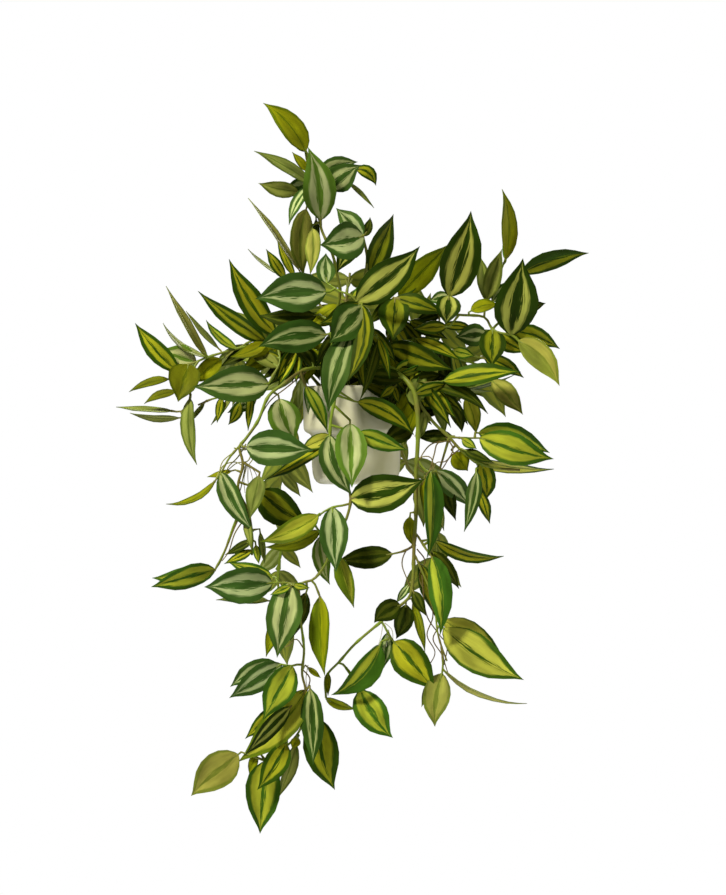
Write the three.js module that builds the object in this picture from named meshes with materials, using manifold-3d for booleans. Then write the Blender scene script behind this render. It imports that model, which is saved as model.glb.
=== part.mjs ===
// Potted tradescantia with variegated leaves, in a white glazed pot with a wide collar.
// Millimetres, +Z up. The origin is on the pot's axis, at the underside of the collar.
// The front of the plant looks along -Y.
import * as THREE from 'three';
import { mergeVertices } from 'three/addons/utils/BufferGeometryUtils.js';
import Module from 'manifold-3d';

const wasm = await Module();
wasm.setup();

// ---------------------------------------------------------------- driving sizes
const COLLAR_RADIUS = 53;         // outside of the wide collar
const BODY_RADIUS = 44.5;         // outside of the narrower body
const FOOT_RADIUS = 33;           // flat underside
const RIM_TOP = 46.5;
const FOOT_BOTTOM = -51;
const WALL = 4;                   // glazed wall
const SOIL_TOP = 36;
const SOIL_GAP = 0.3;             // soil clear of the glazed wall
const POT_SIDES = 32;
const HOLE_RADIUS = 3.2;          // a stem's hole in the soil
const STEM_ROOT_Z = 24;           // how deep a stem reaches in the soil
const STEM_RADIUS = 1.7;          // half a leafy stem's width at the soil
const STEM_TIP_RADIUS = 1.2;
const TWIG_RADIUS = 1.2;          // side stem
const TWIG_TIP_RADIUS = 1.0;
const STEM_STEP = 24;             // length of one facet along a stem
const STALK_LEAST = 6;            // a leaf nearer to its stem than this has no stalk of its own
const STALK_PLACES = 8;           // places looked at for a stalk's start along each facet of a stem
const STALK_BEND = 4;             // a bent stalk's last stretch, in line with its blade
const LIFT = 4.5;                 // how far a stalked leaf's base stands before or behind its stem
const SEEN_DEPTH = -50;           // usual depth of a leaf's base
const PETIOLE_HALF_WIDTH = 0.9;
const PETIOLE_THICKNESS = 1.3;
const BLADE_THICKNESS = 0.8;
const FULL_RATIO = 0.44;          // width of a flat blade over its length
const NARROW_SHARE = 0.35;        // how far a narrow-looking blade widens to that
const LEAST_LEAF_AREA = 360;      // length by width; smaller ones aren't modelled
const LONG_LEAF = 55;             // unless they are longer than this
const LONG_BLADE_SECTIONS = [0.15, 0.42, 0.76];   // where along a blade its sections stand
const SHORT_BLADE_SECTIONS = [0.24, 0.64];
const FOLDED_FROM = 13;           // narrower blades are flat
const FOLD = 0.24;                // each half of a blade rises from the midrib, radians
const COARSE_WIDER = 1.05;        // an outline of few corners is this much wider, to cover as much
const ARCH = 0.08;                // a blade's hump over its length
const TURN_PER_LEAF = 2.4;        // radians round a back stem from one leaf to the next

// Places on the plant are listed as seen from the front, from a point this far in front
// of the pot's axis, at this height and sideways place, and are then turned to real ones.
const EYE_DISTANCE = 2500;
const EYE_X = 7;
const EYE_Z = -14.5;

const COLOURS = {
  pot: 0xf2f0ea,
  soil: 0x3a2c1e,
  leaf: 0x5d7a26,
};

// ---------------------------------------------------------------- leafy stems
// A stem is a list of [x, z, depth]; the first of a spray stands in the soil.
// A leaf is [base x, base z, tip x, tip z, seen width, side turned to the front,
// sideways bow of the midrib, depth of the tip behind the base].
const SPRAYS = [
  ['spray_upright', [
    [[-8, 40, 2], [-14, 68, -6], [-22, 104, -18], [-16, 138, -30], [-19, 160, -32], [-24, 180, -32],
      [-34, 202, -30], [-37, 216, -30], [-42, 240, -28], [-47, 262, -26], [-51, 284, -24]],
    [[-42, 240, -28], [-26, 244, -30], [-8, 250, -32], [0, 264, -34]],
    [[-22, 110, -19], [-44, 138, -16], [-62, 152, -14], [-76, 156, -12]],
  ], [
    [-50, 282, -93, 330, 25, 1, -5, -17],
    [-50, 252, -102, 282, 14, 1, -2, -14],
    [-58, 241, -98, 250, 17, -1, 2, -14],
    [-47, 262, -64, 281, 9, 1, 0, 11],
    [-35, 213, -48, 286, 34, 1, -4, -27],
    [-26, 243, 5, 268, 28, 1, 2, -17],
    [-38, 258, 2, 271, 20, 1, 3, 19],
    [-1, 266, 20, 247, 14, -1, 5, 10],
    [-5, 246, 18, 225, 4, 1, 1, -7],
    [-45, 249, -72, 244, 22, 1, 0, 12],
    [-47, 246, -67, 208, 13, 1, -3, -19],
    [-50, 224, -52, 156, 24, -1, -4, 17],
    [-44, 204, -46, 158, 16, 1, 2, -17],
    [-40, 214, -42, 166, 8, 1, 1, 22],
    [-57, 163, -108, 235, 7, 1, -2, -10],
    [-62, 158, -79, 194, 9, -1, 1, 7],
    [-75, 153, -90, 184, 12, 1, 0, -3],
    [-74, 158, -108, 184, 4, 1, 2, 14],
  ]],
  ['spray_centre', [
    [[2, 40, -16], [4, 62, -40], [2, 90, -60], [3, 112, -66], [4, 128, -68], [8, 150, -60],
      [11, 176, -56], [7, 197, -56]],
    [[4, 128, -68], [-6, 138, -66], [-17, 142, -64], [-29, 150, -60]],
    [[3, 110, -66], [-14, 104, -70], [-30, 98, -72]],
    [[3, 112, -66], [12, 104, -72], [23, 93, -74]],
  ], [
    [5, 198, -36, 188, 40, 1, 2, -19],
    [4, 199, -20, 225, 22, -1, 0, 14],
    [6, 200, 14, 216, 10, 1, -2, 10],
    [9, 196, -19, 160, 22, -1, -3, 17],
    [-28, 152, -30, 180, 20, 1, 1, 13],
    [-30, 141, -101, 134, 41, 1, -2, -17],
    [14, 160, 37.5, 219, 24, 1, -1, 29],
    [3, 136, 64, 187, 36, 1, -4, -36],
    [5, 127, -27, 90, 37, -1, 2, -14],
    [5, 127, -36, 110, 22, 1, 3, -6],
    [6, 127, -10, 50, 20, 1, 8, -29],
    [22, 95, 34, 54, 9, 1, 1, -6],
    [24, 90, 4, 33, 10, -1, 2, -17],
    [-7, 97, -28, 20, 31, 1, -3, -24],
    [-25, 86, -30, 32, 13, -1, -2, 14],
    [-31, 99, -98, 86, 34, 1, -4, -7],
    [-40, 118, -98, 118, 20, 1, 3, 6],
  ]],
  ['spray_right_high', [
    [[15, 40, -6], [26, 72, -26], [34, 105, -40], [38, 134, -48], [62, 128, -50], [87, 120, -50],
      [105, 118, -50], [128, 116, -48], [136, 104, -50], [145, 100, -54], [156, 98, -56], [163, 92, -58]],
    [[91, 119, -50], [92, 128, -51], [93, 137, -52]],
    [[128, 116, -48], [131, 134, -50], [146, 165, -52], [151, 180, -52]],
    [[136, 104, -50], [150, 118, -44], [160, 140, -40], [166, 160, -40]],
  ], [
    [43, 136, 93, 189, 26, 1, 0, 27],
    [93, 137, 115, 222.5, 40, 1, -3, -27],
    [94, 138, 90, 108, 26, -1, 0, -14],
    [92, 140, 73, 132, 14, 1, 0, 7],
    [130, 134, 124, 177, 15, 1, -1, 17],
    [131, 134, 146, 184, 18, -1, 1, -7],
    [150, 174, 146, 244, 17, 1, -5, -7],
    [164, 163, 233, 180, 19, 1, 3, 10],
    [154, 101, 167, 175, 43, 1, 0, -31],
    [160, 122, 190, 130, 14, 1, 0, 14],
    [156, 102, 204, 84, 20, 1, 3, 20],
    [139, 99, 172, 81, 18, -1, -2, 7],
    [162, 91, 203.5, 47, 26, 1, 5, -27],
    [131, 99, 99, 96, 24, 1, 0, 10],
    [134, 98, 136, 66, 28, 1, 0, -14],
    [115, 122, 144, 127, 14, 1, 3, -13],
    [136, 131, 162, 152, 14, 1, 2, -3],
    [90, 106, 57, 104, 14, -1, 0, -10],
    [88, 108, 118, 104, 10, 1, 1, 10],
    [37, 134, 37, 92, 32, 1, 0, -19],
    [39, 134, 90, 119, 20, -1, 1, -10],
    [36, 134, 12, 108, 12, 1, 0, 16],
    [86, 120, 58, 112, 12, 1, 0, 13],
    [54, 112, 92, 94, 15, 1, 0, 6],
  ]],
  ['spray_right_low', [
    [[20, 40, -16], [25, 63, -36], [36, 62, -52], [50, 52, -60], [57, 42, -62], [62, 32, -62],
      [70, 20, -62], [80, 8, -62], [93, -4, -62], [105, -17, -62], [122, -29, -62], [140, -35, -62],
      [164, -37, -60]],
    [[24, 62, -36], [34, 88, -40], [60, 92, -38], [92, 84, -38], [112, 78, -40], [130, 74, -42]],
    [[50, 52, -60], [66, 50, -60], [88, 51, -60], [112, 46, -52], [136, 52, -50]],
    [[66, 50, -60], [84, 42, -54], [94, 28, -54]],
    [[84, 42, -54], [98, 40, -52], [110, 36, -50]],
    [[93, -4, -62], [108, -5, -64], [124, -5, -66]],
    [[122, -29, -62], [124, -45, -58], [123, -58, -56]],
  ], [
    [88, 52, 165, 61, 22, -1, 3, -24],
    [128, 76, 168, 55, 16, 1, 2, 14],
    [66, 50, 158, 58, 6, 1, -9, 41],
    [80, 47, 137, 42, 5, 1, -2, 26],
    [136, 53, 167, 18, 21, 1, 2, -14],
    [78, 47, 132, 19, 14, -1, 7, -20],
    [110, 35, 120, -2, 17, 1, 2, 7],
    [93, 28, 106, 0, 13, 1, 3, 14],
    [97, 82, 119, 77, 12, 1, 0, -7],
    [60, 94, 105, 72, 14, -1, 2, -17],
    [56, 92, 98, 65, 12, 1, -2, 17],
    [34, 90, 97, 63, 27, 1, 0, -29],
    [123, 0, 194, -20, 28, 1, 4, 17],
    [124, -7, 198, -26, 33, -1, -2, -20],
    [112, -24, 198, -36, 11, 1, -5, 39],
    [106, -6, 121, -16, 10, 1, 0, -8],
    [108, -17, 138, -30, 10, -1, 0, -14],
    [126, -30, 130, -67, 22, 1, 3, 17],
    [123, -56, 134, -91, 12, 1, 0, 17],
    [120, -39, 108, -99, 15, 1, 2, -17],
    [98, -20, 112, -38, 20, 1, 0, 10],
    [38, 46, 23, 34, 10, 1, 0, -9],
    [38, 46, 43, 29, 9, 1, 0, -7],
    [57, 6, 26, -8, 22, 1, 0, 10],
    [96, -3, 58, -3, 14, 1, 0, 17],
  ]],
  ['spray_right_trailing', [
    [[12, 40, -24], [17, 62, -44], [28, 66, -58], [42, 60, -68], [56, 46, -76], [61, 28, -78],
      [62, 0, -78], [61, -25, -76], [60, -42, -75], [60, -80, -74], [58, -115, -74], [57, -145, -74],
      [54, -163, -74], [40, -176, -72], [26, -188, -70], [0, -210, -62], [-16, -228, -58],
      [-30, -244, -54], [-30, -265, -54]],
    [[61, -25, -76], [70, -38, -78], [80, -38, -78]],
    [[58, -120, -74], [66, -138, -74], [72, -152, -76], [79, -172, -78], [81, -196, -78],
      [85, -212, -78], [91, -228, -78]],
    [[60, -100, -74], [70, -116, -78], [76, -124, -80]],
    [[26, -188, -70], [32, -200, -68], [38, -209, -68]],
    [[85, -212, -78], [87, -228, -76], [86, -241, -76]],
    [[-16, -228, -58], [-6, -240, -52], [2, -256, -52]],
    [[59, -112, -74], [48, -118, -66], [36, -121, -60]],
  ], [
    [80, -38, 114, -74, 24, 1, 2, 34],
    [74, -41, 71, -125, 20, -1, 5, -24],
    [69, -45, 68, -80, 9, 1, 0, 14],
    [78, -60, 88, -98, 10, 1, 0, 17],
    [54, -84, 58, -114, 13, 1, -2, 10],
    [36, -121, -20, -128, 23, 1, 0, 10],
    [76, -124, 84, -202, 24, 1, 5, -20],
    [76, -119, 103, -156, 16, -1, 2, 14],
    [64, -131, 80, -186, 16, 1, 1, 24],
    [57, -158, 70, -183, 12, 1, 0, -10],
    [57, -170, 69, -219, 9, 1, 1, 17],
    [80, -108, 148, -123, 14, 1, -8, 10],
    [88, -188, 150, -228, 30, 1, 1, 14],
    [88, -196, 168, -247, 37, -1, -3, -17],
    [92, -234, 171, -270.5, 6, 1, -9, 7],
    [38, -209, 79, -258, 36, 1, 1, -14],
    [86, -242, 79, -294, 28, 1, -3, -14],
    [74, -250, 65.5, -274, 8, 1, 0, 11],
    [44, -172, 18, -190, 22, 1, -3, -7],
    [50, -172, 40, -206, 20, 1, 2, 16],
    [32, -200, 28, -235, 14, 1, 0, 16],
    [53, -152, 40, -170, 8, 1, 0, 10],
    [24, -212, -25, -262, 27, -1, 9, 0],
    [4, -257, 37, -305, 33, 1, -3, -17],
    [-28, -266, 0, -276, 10, 1, -2, 7],
    [-33, -243, -28, -263, 6, 1, 0, -7],
  ]],
  ['spray_left', [
    [[-20, 40, 4], [-30, 68, -12], [-50, 86, -26], [-80, 92, -34], [-112, 86, -38], [-145, 77, -40],
      [-160, 71, -40], [-172, 67, -40]],
    [[-160, 71, -40], [-166, 50, -46], [-166, 34, -48], [-174, 22, -48], [-184, 22, -46]],
    [[-80, 92, -34], [-76, 72, -44], [-84, 56, -50], [-90, 47, -52], [-112, 38, -48], [-140, 35, -46],
      [-158, 28, -46]],
  ], [
    [-80, 99, -127, 174, 26, 1, 4, -17],
    [-92, 93, -158, 142, 18, -1, 3, -7],
    [-122, 85, -150, 113, 10, 1, 3, 10],
    [-150, 80, -190, 147, 8, 1, 0, -10],
    [-138, 85, -170, 122, 6, -1, 1, 17],
    [-150, 79, -193, 110, 6, 1, 6, 24],
    [-160, 72, -196, 84, 27, -1, 2, 17],
    [-178, 62, -221, 110, 20, 1, 2, 7],
    [-170, 72, -178, 31, 33, 1, 0, -19],
    [-188, 54, -227, 41, 9, 1, -3, 10],
    [-180, 41, -212, 29, 9, 1, -3, -3],
    [-184, 22, -240, 26, 6, 1, 0, 14],
    [-177, 15, -226, 20, 7, -1, 3, -10],
    [-166, 34, -159, -32, 16, 1, -5, -14],
    [-152, 30, -167, 10, 5, 1, 0, 10],
    [-90, 47, -163, 46, 38, 1, 0, -24],
    [-100, 34, -129, 20, 14, -1, 0, 7],
    [-136, 34, -139, 10, 9, 1, 0, 7],
    [-128, 34, -145, 8, 6, 1, 0, 14],
    [-116, 30, -128, 8, 12, -1, 2, -3],
    [-105, 38, -108, 2, 9, 1, 0, -10],
    [-135, 74, -165, 50, 20, 1, 0, 14],
    [-63, 85, -94, 64, 13, 1, 0, 17],
    [-61, 84, -80, 52, 13, -1, 0, -17],
    [-56, 83, -64, 50, 11, 1, 0, -7],
    [-53, 82, -47, 60, 13, 1, 0, 10],
    [-80, 90, -104, 58, 20, 1, 0, 18],
    [-40, 78, -52, 48, 13, 1, 0, -10],
  ]],
  ['spray_left_trailing', [
    [[-16, 40, -14], [-30, 63, -36], [-52, 63, -50], [-74, 48, -58], [-88, 36, -62], [-98, 12, -64],
      [-112, -8, -64], [-117, -14, -64], [-113, -32, -64], [-118, -55, -64], [-108, -78, -66],
      [-104, -100, -66], [-104, -122, -62]],
    [[-112, -8, -64], [-126, -24, -64], [-134, -38, -64], [-141, -48, -64]],
    [[-112, -70, -65], [-122, -92, -60], [-130, -115, -58], [-141, -137, -58]],
  ], [
    [-109, -14, -42, -17, 38, 1, 0, -27],
    [-77, 34, -60, -10, 34, 1, -2, 7],
    [-50, 47, -28, 0, 14, -1, 2, -17],
    [-131, -42, -102, -99, 23, 1, -3, -14],
    [-125, -38, -149, -44, 6, 1, 0, 7],
    [-141, -48, -190, -71, 7, 1, 7, 10],
    [-97, -43, -106, -86, 19, 1, 0, -20],
    [-97, -58, -47, -91, 35, -1, -3, 14],
    [-144, -136, -204, -145, 20, 1, 2, 24],
    [-142, -142, -205, -154, 24, -1, 0, -17],
    [-105, -110, -131, -122, 9, 1, 0, 7],
    [-104, -118, -132, -131, 9, 1, 0, -7],
    [-100, -112, -97, -131, 8, 1, 0, -7],
    [-96, -100, -91, -131, 7, 1, 0, 7],
    [-110, -82, -104, -118, 9, 1, 0, -14],
  ]],
  ['spray_centre_trailing', [
    [[-6, 40, -24], [-10, 60, -46], [-16, 62, -64], [-20, 40, -72], [-26, 2, -76], [-20, -30, -77],
      [-6, -60, -78], [-9, -84, -79], [-20, -104, -80], [-30, -130, -80], [-42, -146, -80],
      [-56, -152, -80], [-57, -175, -80], [-52, -215, -80], [-54, -240, -80], [-50, -258, -80],
      [-50, -280, -80], [-62, -306, -80], [-90, -328, -80]],
    [[-56, -152, -80], [-70, -150, -80], [-84, -150, -80]],
    [[-9, -72, -79], [-22, -74, -80], [-34, -80, -80], [-47, -92, -80]],
    [[-54, -230, -80], [-66, -233, -80], [-80, -230, -80]],
    [[-43, -147, -80], [-39, -156, -79], [-36, -164, -78]],
  ], [
    [-26, -2, -56, -17, 15, 1, 0, 10],
    [-30, -8, -91, -47, 13, 1, 1, 33],
    [-26, -3, -4, -62, 30, 1, -5, -3],
    [-6, 9, -4, -55, 33, -1, 0, -29],
    [2, 0, 52, -17, 19, 1, -1, -10],
    [2, 31, 58, -2, 21, 1, 6, 3],
    [-38, -82, -96, -109, 22, 1, 3, -10],
    [-36, -98, -92, -114, 16, -1, 5, 5],
    [-21, -75, -20, -140, 29, 1, 0, -10],
    [-36, -104, -26, -152, 18, -1, -3, 22],
    [-18, -124, -2, -175, 18, 1, 0, 7],
    [-2, -64, 69, -46, 39, 1, -3, -20],
    [-84, -150, -152, -154, 38, 1, 0, -17],
    [-84, -144, -128, -129, 15, 1, 0, 10],
    [-88, -168, -140, -167, 8, 1, -2, 23],
    [-66, -155, -79, -225, 36, 1, 0, -20],
    [-50, -160, -66, -208, 18, -1, 0, 23],
    [-80, -186, -90, -224, 12, 1, 0, 7],
    [-66, -153, -86, -162, 8, 1, 0, -10],
    [-62, -152, -46, -155, 8, 1, 0, -7],
    [-36, -164, -31, -243, 21, 1, -3, -7],
    [-48, -235, -35, -245, 6, 1, 0, 3],
    [-81, -224, -126, -254, 22, 1, -3, 10],
    [-78, -233, -127, -265, 26, -1, 0, -7],
    [-66, -234, -93, -287, 31, 1, 0, -24],
    [-53, -256, -118, -329, 34, 1, 4, 7],
    [-66, -274, -111, -322, 18, -1, 0, -30],
    [-80, -274, -111, -306, 14, 1, 0, 7],
    [-46, -256, -43, -332, 24, 1, 1, -17],
    [-38, -286, -21, -357, 36, -1, -4, 7],
    [-118, -322, -165, -363, 36, 1, -2, 10],
    [-70, -310, -99, -357, 25, 1, 2, -24],
    [-90, -328, -96, -401, 36, 1, 0, -7],
    [-60, -312, -78, -365, 14, -1, 2, 14],
    [-100, -322, -107, -341, 10, 1, 0, 7],
    [-80, -315, -90, -335, 8, 1, 0, -10],
    [-58, -304, -64, -316, 10, 1, 0, -6],
  ]],
];

// Stems at the back and sides bear leaves by a rule: pairs every so many millimetres,
// turned outwards and hanging more the further they are from the soil.
// [name, stem points, first leaf's distance along the stem, spacing, leaf length, seed]
const BACK_SPRAYS = [
  ['spray_back_left', [[-12, 40, 14], [-34, 78, 30], [-66, 98, 54], [-100, 94, 70], [-130, 76, 80]], 49, 19, 62, 3],
  ['spray_back_right', [[12, 40, 14], [34, 80, 32], [68, 102, 56], [104, 106, 72], [132, 92, 82]], 40, 19, 62, 8],
  ['spray_back_high', [[0, 40, 20], [-2, 84, 34], [-10, 126, 46], [-6, 160, 54]], 48, 18, 58, 5],
  ['spray_back_trailing_left', [[-24, 40, 24], [-40, 62, 46], [-58, 48, 64], [-70, 6, 72], [-76, -50, 76],
    [-74, -100, 76], [-78, -150, 74], [-72, -190, 72]], 64, 24, 54, 11],
  ['spray_back_trailing_right', [[24, 40, 24], [36, 60, 46], [44, 46, 66], [42, 0, 74], [52, -34, 76],
    [74, -62, 76], [80, -100, 75], [78, -140, 74]], 60, 26, 54, 14],
  ['spray_side_left', [[-30, 40, 8], [-56, 66, 10], [-92, 72, 20], [-126, 62, 26]], 44, 17, 56, 20],
  ['spray_side_right', [[30, 40, 6], [58, 68, 8], [94, 76, 14], [128, 66, 20]], 44, 17, 56, 23],
];

// ---------------------------------------------------------------- geometry helpers
const FRONT = new THREE.Vector3(0, -1, 0);
const BACKWARDS = new THREE.Vector3(0, 1, 0);

function seenPlace(x, z, depth) {
  const scale = 1 + depth / EYE_DISTANCE;
  return new THREE.Vector3(EYE_X + (x - EYE_X) * scale, depth, EYE_Z + (z - EYE_Z) * scale);
}

function seeded(seed) {
  let state = seed;
  return () => {
    state = (state * 16807) % 2147483647;
    return state / 2147483647;
  };
}

// Half-width of a blade over its full half-width: round at the base, drawn out at the tip.
function bladeOutline(u) {
  const body = (Math.pow(u, 0.7) * Math.pow(1 - u, 1.12)) / 0.2975;
  return body * (1 - 0.35 * THREE.MathUtils.smoothstep(u, 0.7, 0.95));
}

// Corners of a stem's axis: even steps along a smooth curve through its listed places.
// The stem of a spray also goes straight down into the soil.
function stemAxis(route, inSoil) {
  const points = route.map(([x, z, depth]) => seenPlace(x, z, depth));
  const curve = new THREE.CatmullRomCurve3(points, false, 'catmullrom');
  const axis = curve.getSpacedPoints(Math.max(2, Math.round(curve.getLength() / STEM_STEP)));
  if (inSoil) axis.unshift(points[0].clone().setZ(STEM_ROOT_Z));
  return axis;
}

// Axes of a spray's stems; a side stem starts from the nearest place on the others.
function sprayAxes(routes) {
  const axes = [stemAxis(routes[0], true)];
  for (const route of routes.slice(1)) {
    const axis = stemAxis(route, false);
    const line = new THREE.Line3();
    let nearest = null;
    for (const other of axes) {
      for (let i = 0; i < other.length - 1; i += 1) {
        const point = line.set(other[i], other[i + 1]).closestPointToPoint(axis[0], true, new THREE.Vector3());
        if (nearest === null || point.distanceTo(axis[0]) < nearest.distanceTo(axis[0])) nearest = point;
      }
    }
    axis[0] = nearest;
    axes.push(axis);
  }
  return axes;
}

// A four-sided tube round an axis, one side to the front, closed at both ends.
function stemGeometry(axis, startRadius, endRadius) {
  const vertices = [];
  const triangles = [];
  const last = axis.length - 1;
  axis.forEach((centre, i) => {
    const along = axis[Math.min(i + 1, last)].clone().sub(axis[Math.max(i - 1, 0)]).normalize();
    const front = FRONT.clone().addScaledVector(along, -along.dot(FRONT)).normalize();
    const across = new THREE.Vector3().crossVectors(along, front);
    const radius = startRadius + (endRadius - startRadius) * (i / last);
    for (const [a, f] of [[1, 1], [-1, 1], [-1, -1], [1, -1]]) {
      vertices.push(centre.clone().addScaledVector(across, a * radius).addScaledVector(front, f * radius));
    }
  });
  for (let i = 0; i < last; i += 1) {
    for (let k = 0; k < 4; k += 1) {
      const a = i * 4 + k;
      const b = i * 4 + ((k + 1) % 4);
      triangles.push([a, b, b + 4], [a, b + 4, a + 4]);
    }
  }
  triangles.push([0, 2, 1], [0, 3, 2], [last * 4, last * 4 + 1, last * 4 + 2], [last * 4, last * 4 + 2, last * 4 + 3]);
  return closedGeometry(vertices, triangles);
}

// The place on the stems that a leaf's stalk starts from: near its base and behind it.
function stalkStart(base, direction, axes) {
  let best = null;
  for (const axis of axes) {
    for (let i = 0; i < axis.length - 1; i += 1) {
      const along = axis[i + 1].clone().sub(axis[i]);
      for (let step = 0; step <= STALK_PLACES; step += 1) {
        const point = axis[i].clone().addScaledVector(along, step / STALK_PLACES);
        if (Math.hypot(point.x, point.y) < COLLAR_RADIUS && point.z < RIM_TOP) continue;
        const flat = base.clone().sub(point).setY(0);
        const distance = flat.length();
        const facing = distance > 0.5 ? flat.dot(direction) / distance : 1;
        const cost = (distance + 2) * (1.7 - facing);
        const atEnd = i === axis.length - 2 && step === STALK_PLACES;
        if (best === null || cost < best.cost) best = { cost, point, along: along.clone().normalize(), atEnd };
      }
    }
  }
  return best;
}

// A folded, arched blade with its stalk: a closed band of sections from stem to tip.
// It turns its upper face to the front, or to the back where facing is BACKWARDS.
function leafGeometry(leaf, axes, facing) {
  const [baseX, baseZ, tipX, tipZ, seenWidth, side, bow, tipDepth] = leaf;
  const direction = new THREE.Vector3(tipX - baseX, 0, tipZ - baseZ).normalize();
  const start = stalkStart(seenPlace(baseX, baseZ, SEEN_DEPTH), direction, axes);
  const root = start.point;
  const tip = seenPlace(tipX, tipZ, root.y + tipDepth);
  const base = seenPlace(baseX, baseZ, root.y);
  const beside = Math.abs(direction.dot(start.along)) > 0.75 && !start.atEnd;
  const stalked = beside || base.distanceTo(root) > STALK_LEAST;
  if (stalked) base.y += (tipDepth > 0 ? 1 : -1) * LIFT;
  else base.copy(root);
  const length = tip.distanceTo(base);
  const fullWidth = FULL_RATIO * length;
  const width = seenWidth >= fullWidth ? seenWidth : seenWidth + NARROW_SHARE * (fullWidth - seenWidth);
  const roll = side * Math.acos(Math.min(1, seenWidth / width));
  const leftwards = new THREE.Vector3(-direction.z, 0, direction.x);
  const hump = base.clone().add(tip).multiplyScalar(0.5)
    .addScaledVector(leftwards, 2 * bow)
    .addScaledVector(facing, 2 * ARCH * length);
  const midrib = new THREE.QuadraticBezierCurve3(base, hump, tip);

  const inner = length > LONG_LEAF ? LONG_BLADE_SECTIONS : SHORT_BLADE_SECTIONS;
  const folded = width > FOLDED_FROM;
  const sections = [];
  const stalk = base.clone().sub(root).normalize();
  const addSection = (centre, along, halfWidth, thickness, fold, wide) => {
    const left = new THREE.Vector3().crossVectors(facing, along).normalize();
    const front = new THREE.Vector3().crossVectors(along, left).normalize();
    const across = left.clone().multiplyScalar(Math.cos(roll)).addScaledVector(front, Math.sin(roll));
    const up = front.clone().multiplyScalar(Math.cos(roll)).addScaledVector(left, -Math.sin(roll));
    const rise = up.clone().multiplyScalar(halfWidth * Math.sin(fold));
    const reach = across.clone().multiplyScalar(halfWidth * Math.cos(fold));
    const lift = up.clone().multiplyScalar(thickness / 2);
    const midline = centre.clone().addScaledVector(left, halfWidth * Math.sin(fold) * Math.sin(roll));
    const rows = wide
      ? [midline.clone().add(reach).add(rise), midline, midline.clone().sub(reach).add(rise)]
      : [centre.clone().add(reach), centre.clone().sub(reach)];
    sections.push({ top: rows.map((p) => p.clone().add(lift)), bottom: rows.map((p) => p.clone().sub(lift)) });
  };
  const startAlong = midrib.getTangent(0);
  if (stalked && stalk.dot(startAlong) < 0.35) {
    const turned = stalk.clone().lerp(startAlong, 0.35).normalize();
    const bend = base.clone().addScaledVector(startAlong, -Math.min(STALK_BEND, base.distanceTo(root) * 0.5));
    addSection(root, turned, PETIOLE_HALF_WIDTH, PETIOLE_THICKNESS, 0, false);
    addSection(bend, turned, PETIOLE_HALF_WIDTH, PETIOLE_THICKNESS, 0, false);
  } else if (stalked) {
    addSection(root, startAlong, PETIOLE_HALF_WIDTH, PETIOLE_THICKNESS, 0, false);
  }
  addSection(base, startAlong, PETIOLE_HALF_WIDTH, PETIOLE_THICKNESS, 0, false);
  for (const u of inner) {
    const halfWidth = 0.5 * width * COARSE_WIDER * bladeOutline(u);
    addSection(midrib.getPoint(u), midrib.getTangent(u), halfWidth, BLADE_THICKNESS, FOLD, folded);
  }
  return bandGeometry(sections, tip);
}

// Joins the sections of a blade and closes it at the stem and at the pointed tip.
function bandGeometry(sections, tip) {
  const vertices = [];
  const triangles = [];
  const rows = sections.map((section) => {
    const top = section.top.map((point) => vertices.push(point) - 1);
    const bottom = section.bottom.map((point) => vertices.push(point) - 1);
    return { top, bottom };
  });
  const point = vertices.push(tip.clone()) - 1;
  rows.push({ top: [point], bottom: [point] });
  const strip = (a, b, flip) => {
    const add = (p, q, r) => triangles.push(flip ? [p, r, q] : [p, q, r]);
    if (b.length === 1) {
      for (let k = 0; k < a.length - 1; k += 1) add(a[k], a[k + 1], b[0]);
    } else if (a.length === b.length) {
      for (let k = 0; k < a.length - 1; k += 1) {
        add(a[k], a[k + 1], b[k + 1]);
        add(a[k], b[k + 1], b[k]);
      }
    } else {
      add(a[0], b[1], b[0]);
      add(a[0], a[1], b[1]);
      add(a[1], b[2], b[1]);
    }
  };
  for (let i = 0; i < rows.length - 1; i += 1) {
    const a = rows[i];
    const b = rows[i + 1];
    strip(a.top, b.top, false);
    strip(a.bottom, b.bottom, true);
    const la = a.top.length - 1;
    const lb = b.top.length - 1;
    strip([a.bottom[0], a.top[0]], lb === 0 ? b.top : [b.bottom[0], b.top[0]], false);
    strip([a.top[la], a.bottom[la]], lb === 0 ? b.top : [b.top[lb], b.bottom[lb]], false);
  }
  const first = rows[0];
  triangles.push([first.top[0], first.bottom[1], first.top[1]], [first.top[0], first.bottom[0], first.bottom[1]]);
  return closedGeometry(vertices, triangles);
}

// Geometry of a closed shape from its corners and triangles, turned to face outwards.
function closedGeometry(vertices, triangles) {
  let volume = 0;
  for (const [a, b, c] of triangles) {
    volume += vertices[a].dot(new THREE.Vector3().crossVectors(vertices[b], vertices[c]));
  }
  const facing = volume < 0 ? triangles.map(([a, b, c]) => [a, c, b]) : triangles;
  const geometry = new THREE.BufferGeometry().setFromPoints(vertices);
  geometry.setIndex(facing.flat());
  return geometry;
}

// A geometry as a solid that can be joined to others or cut.
function toSolid(geometry) {
  geometry.deleteAttribute('normal');
  geometry.deleteAttribute('uv');
  const merged = mergeVertices(geometry, 1e-4);
  return new wasm.Manifold(new wasm.Mesh({
    numProp: 3,
    vertProperties: new Float32Array(merged.attributes.position.array),
    triVerts: new Uint32Array(merged.index.array),
  }));
}

function toGeometry(solid) {
  const mesh = solid.getMesh();
  const geometry = new THREE.BufferGeometry();
  geometry.setAttribute('position', new THREE.BufferAttribute(new Float32Array(mesh.vertProperties), 3));
  geometry.setIndex(new THREE.BufferAttribute(new Uint32Array(mesh.triVerts), 1));
  geometry.computeVertexNormals();
  return geometry;
}

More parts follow.
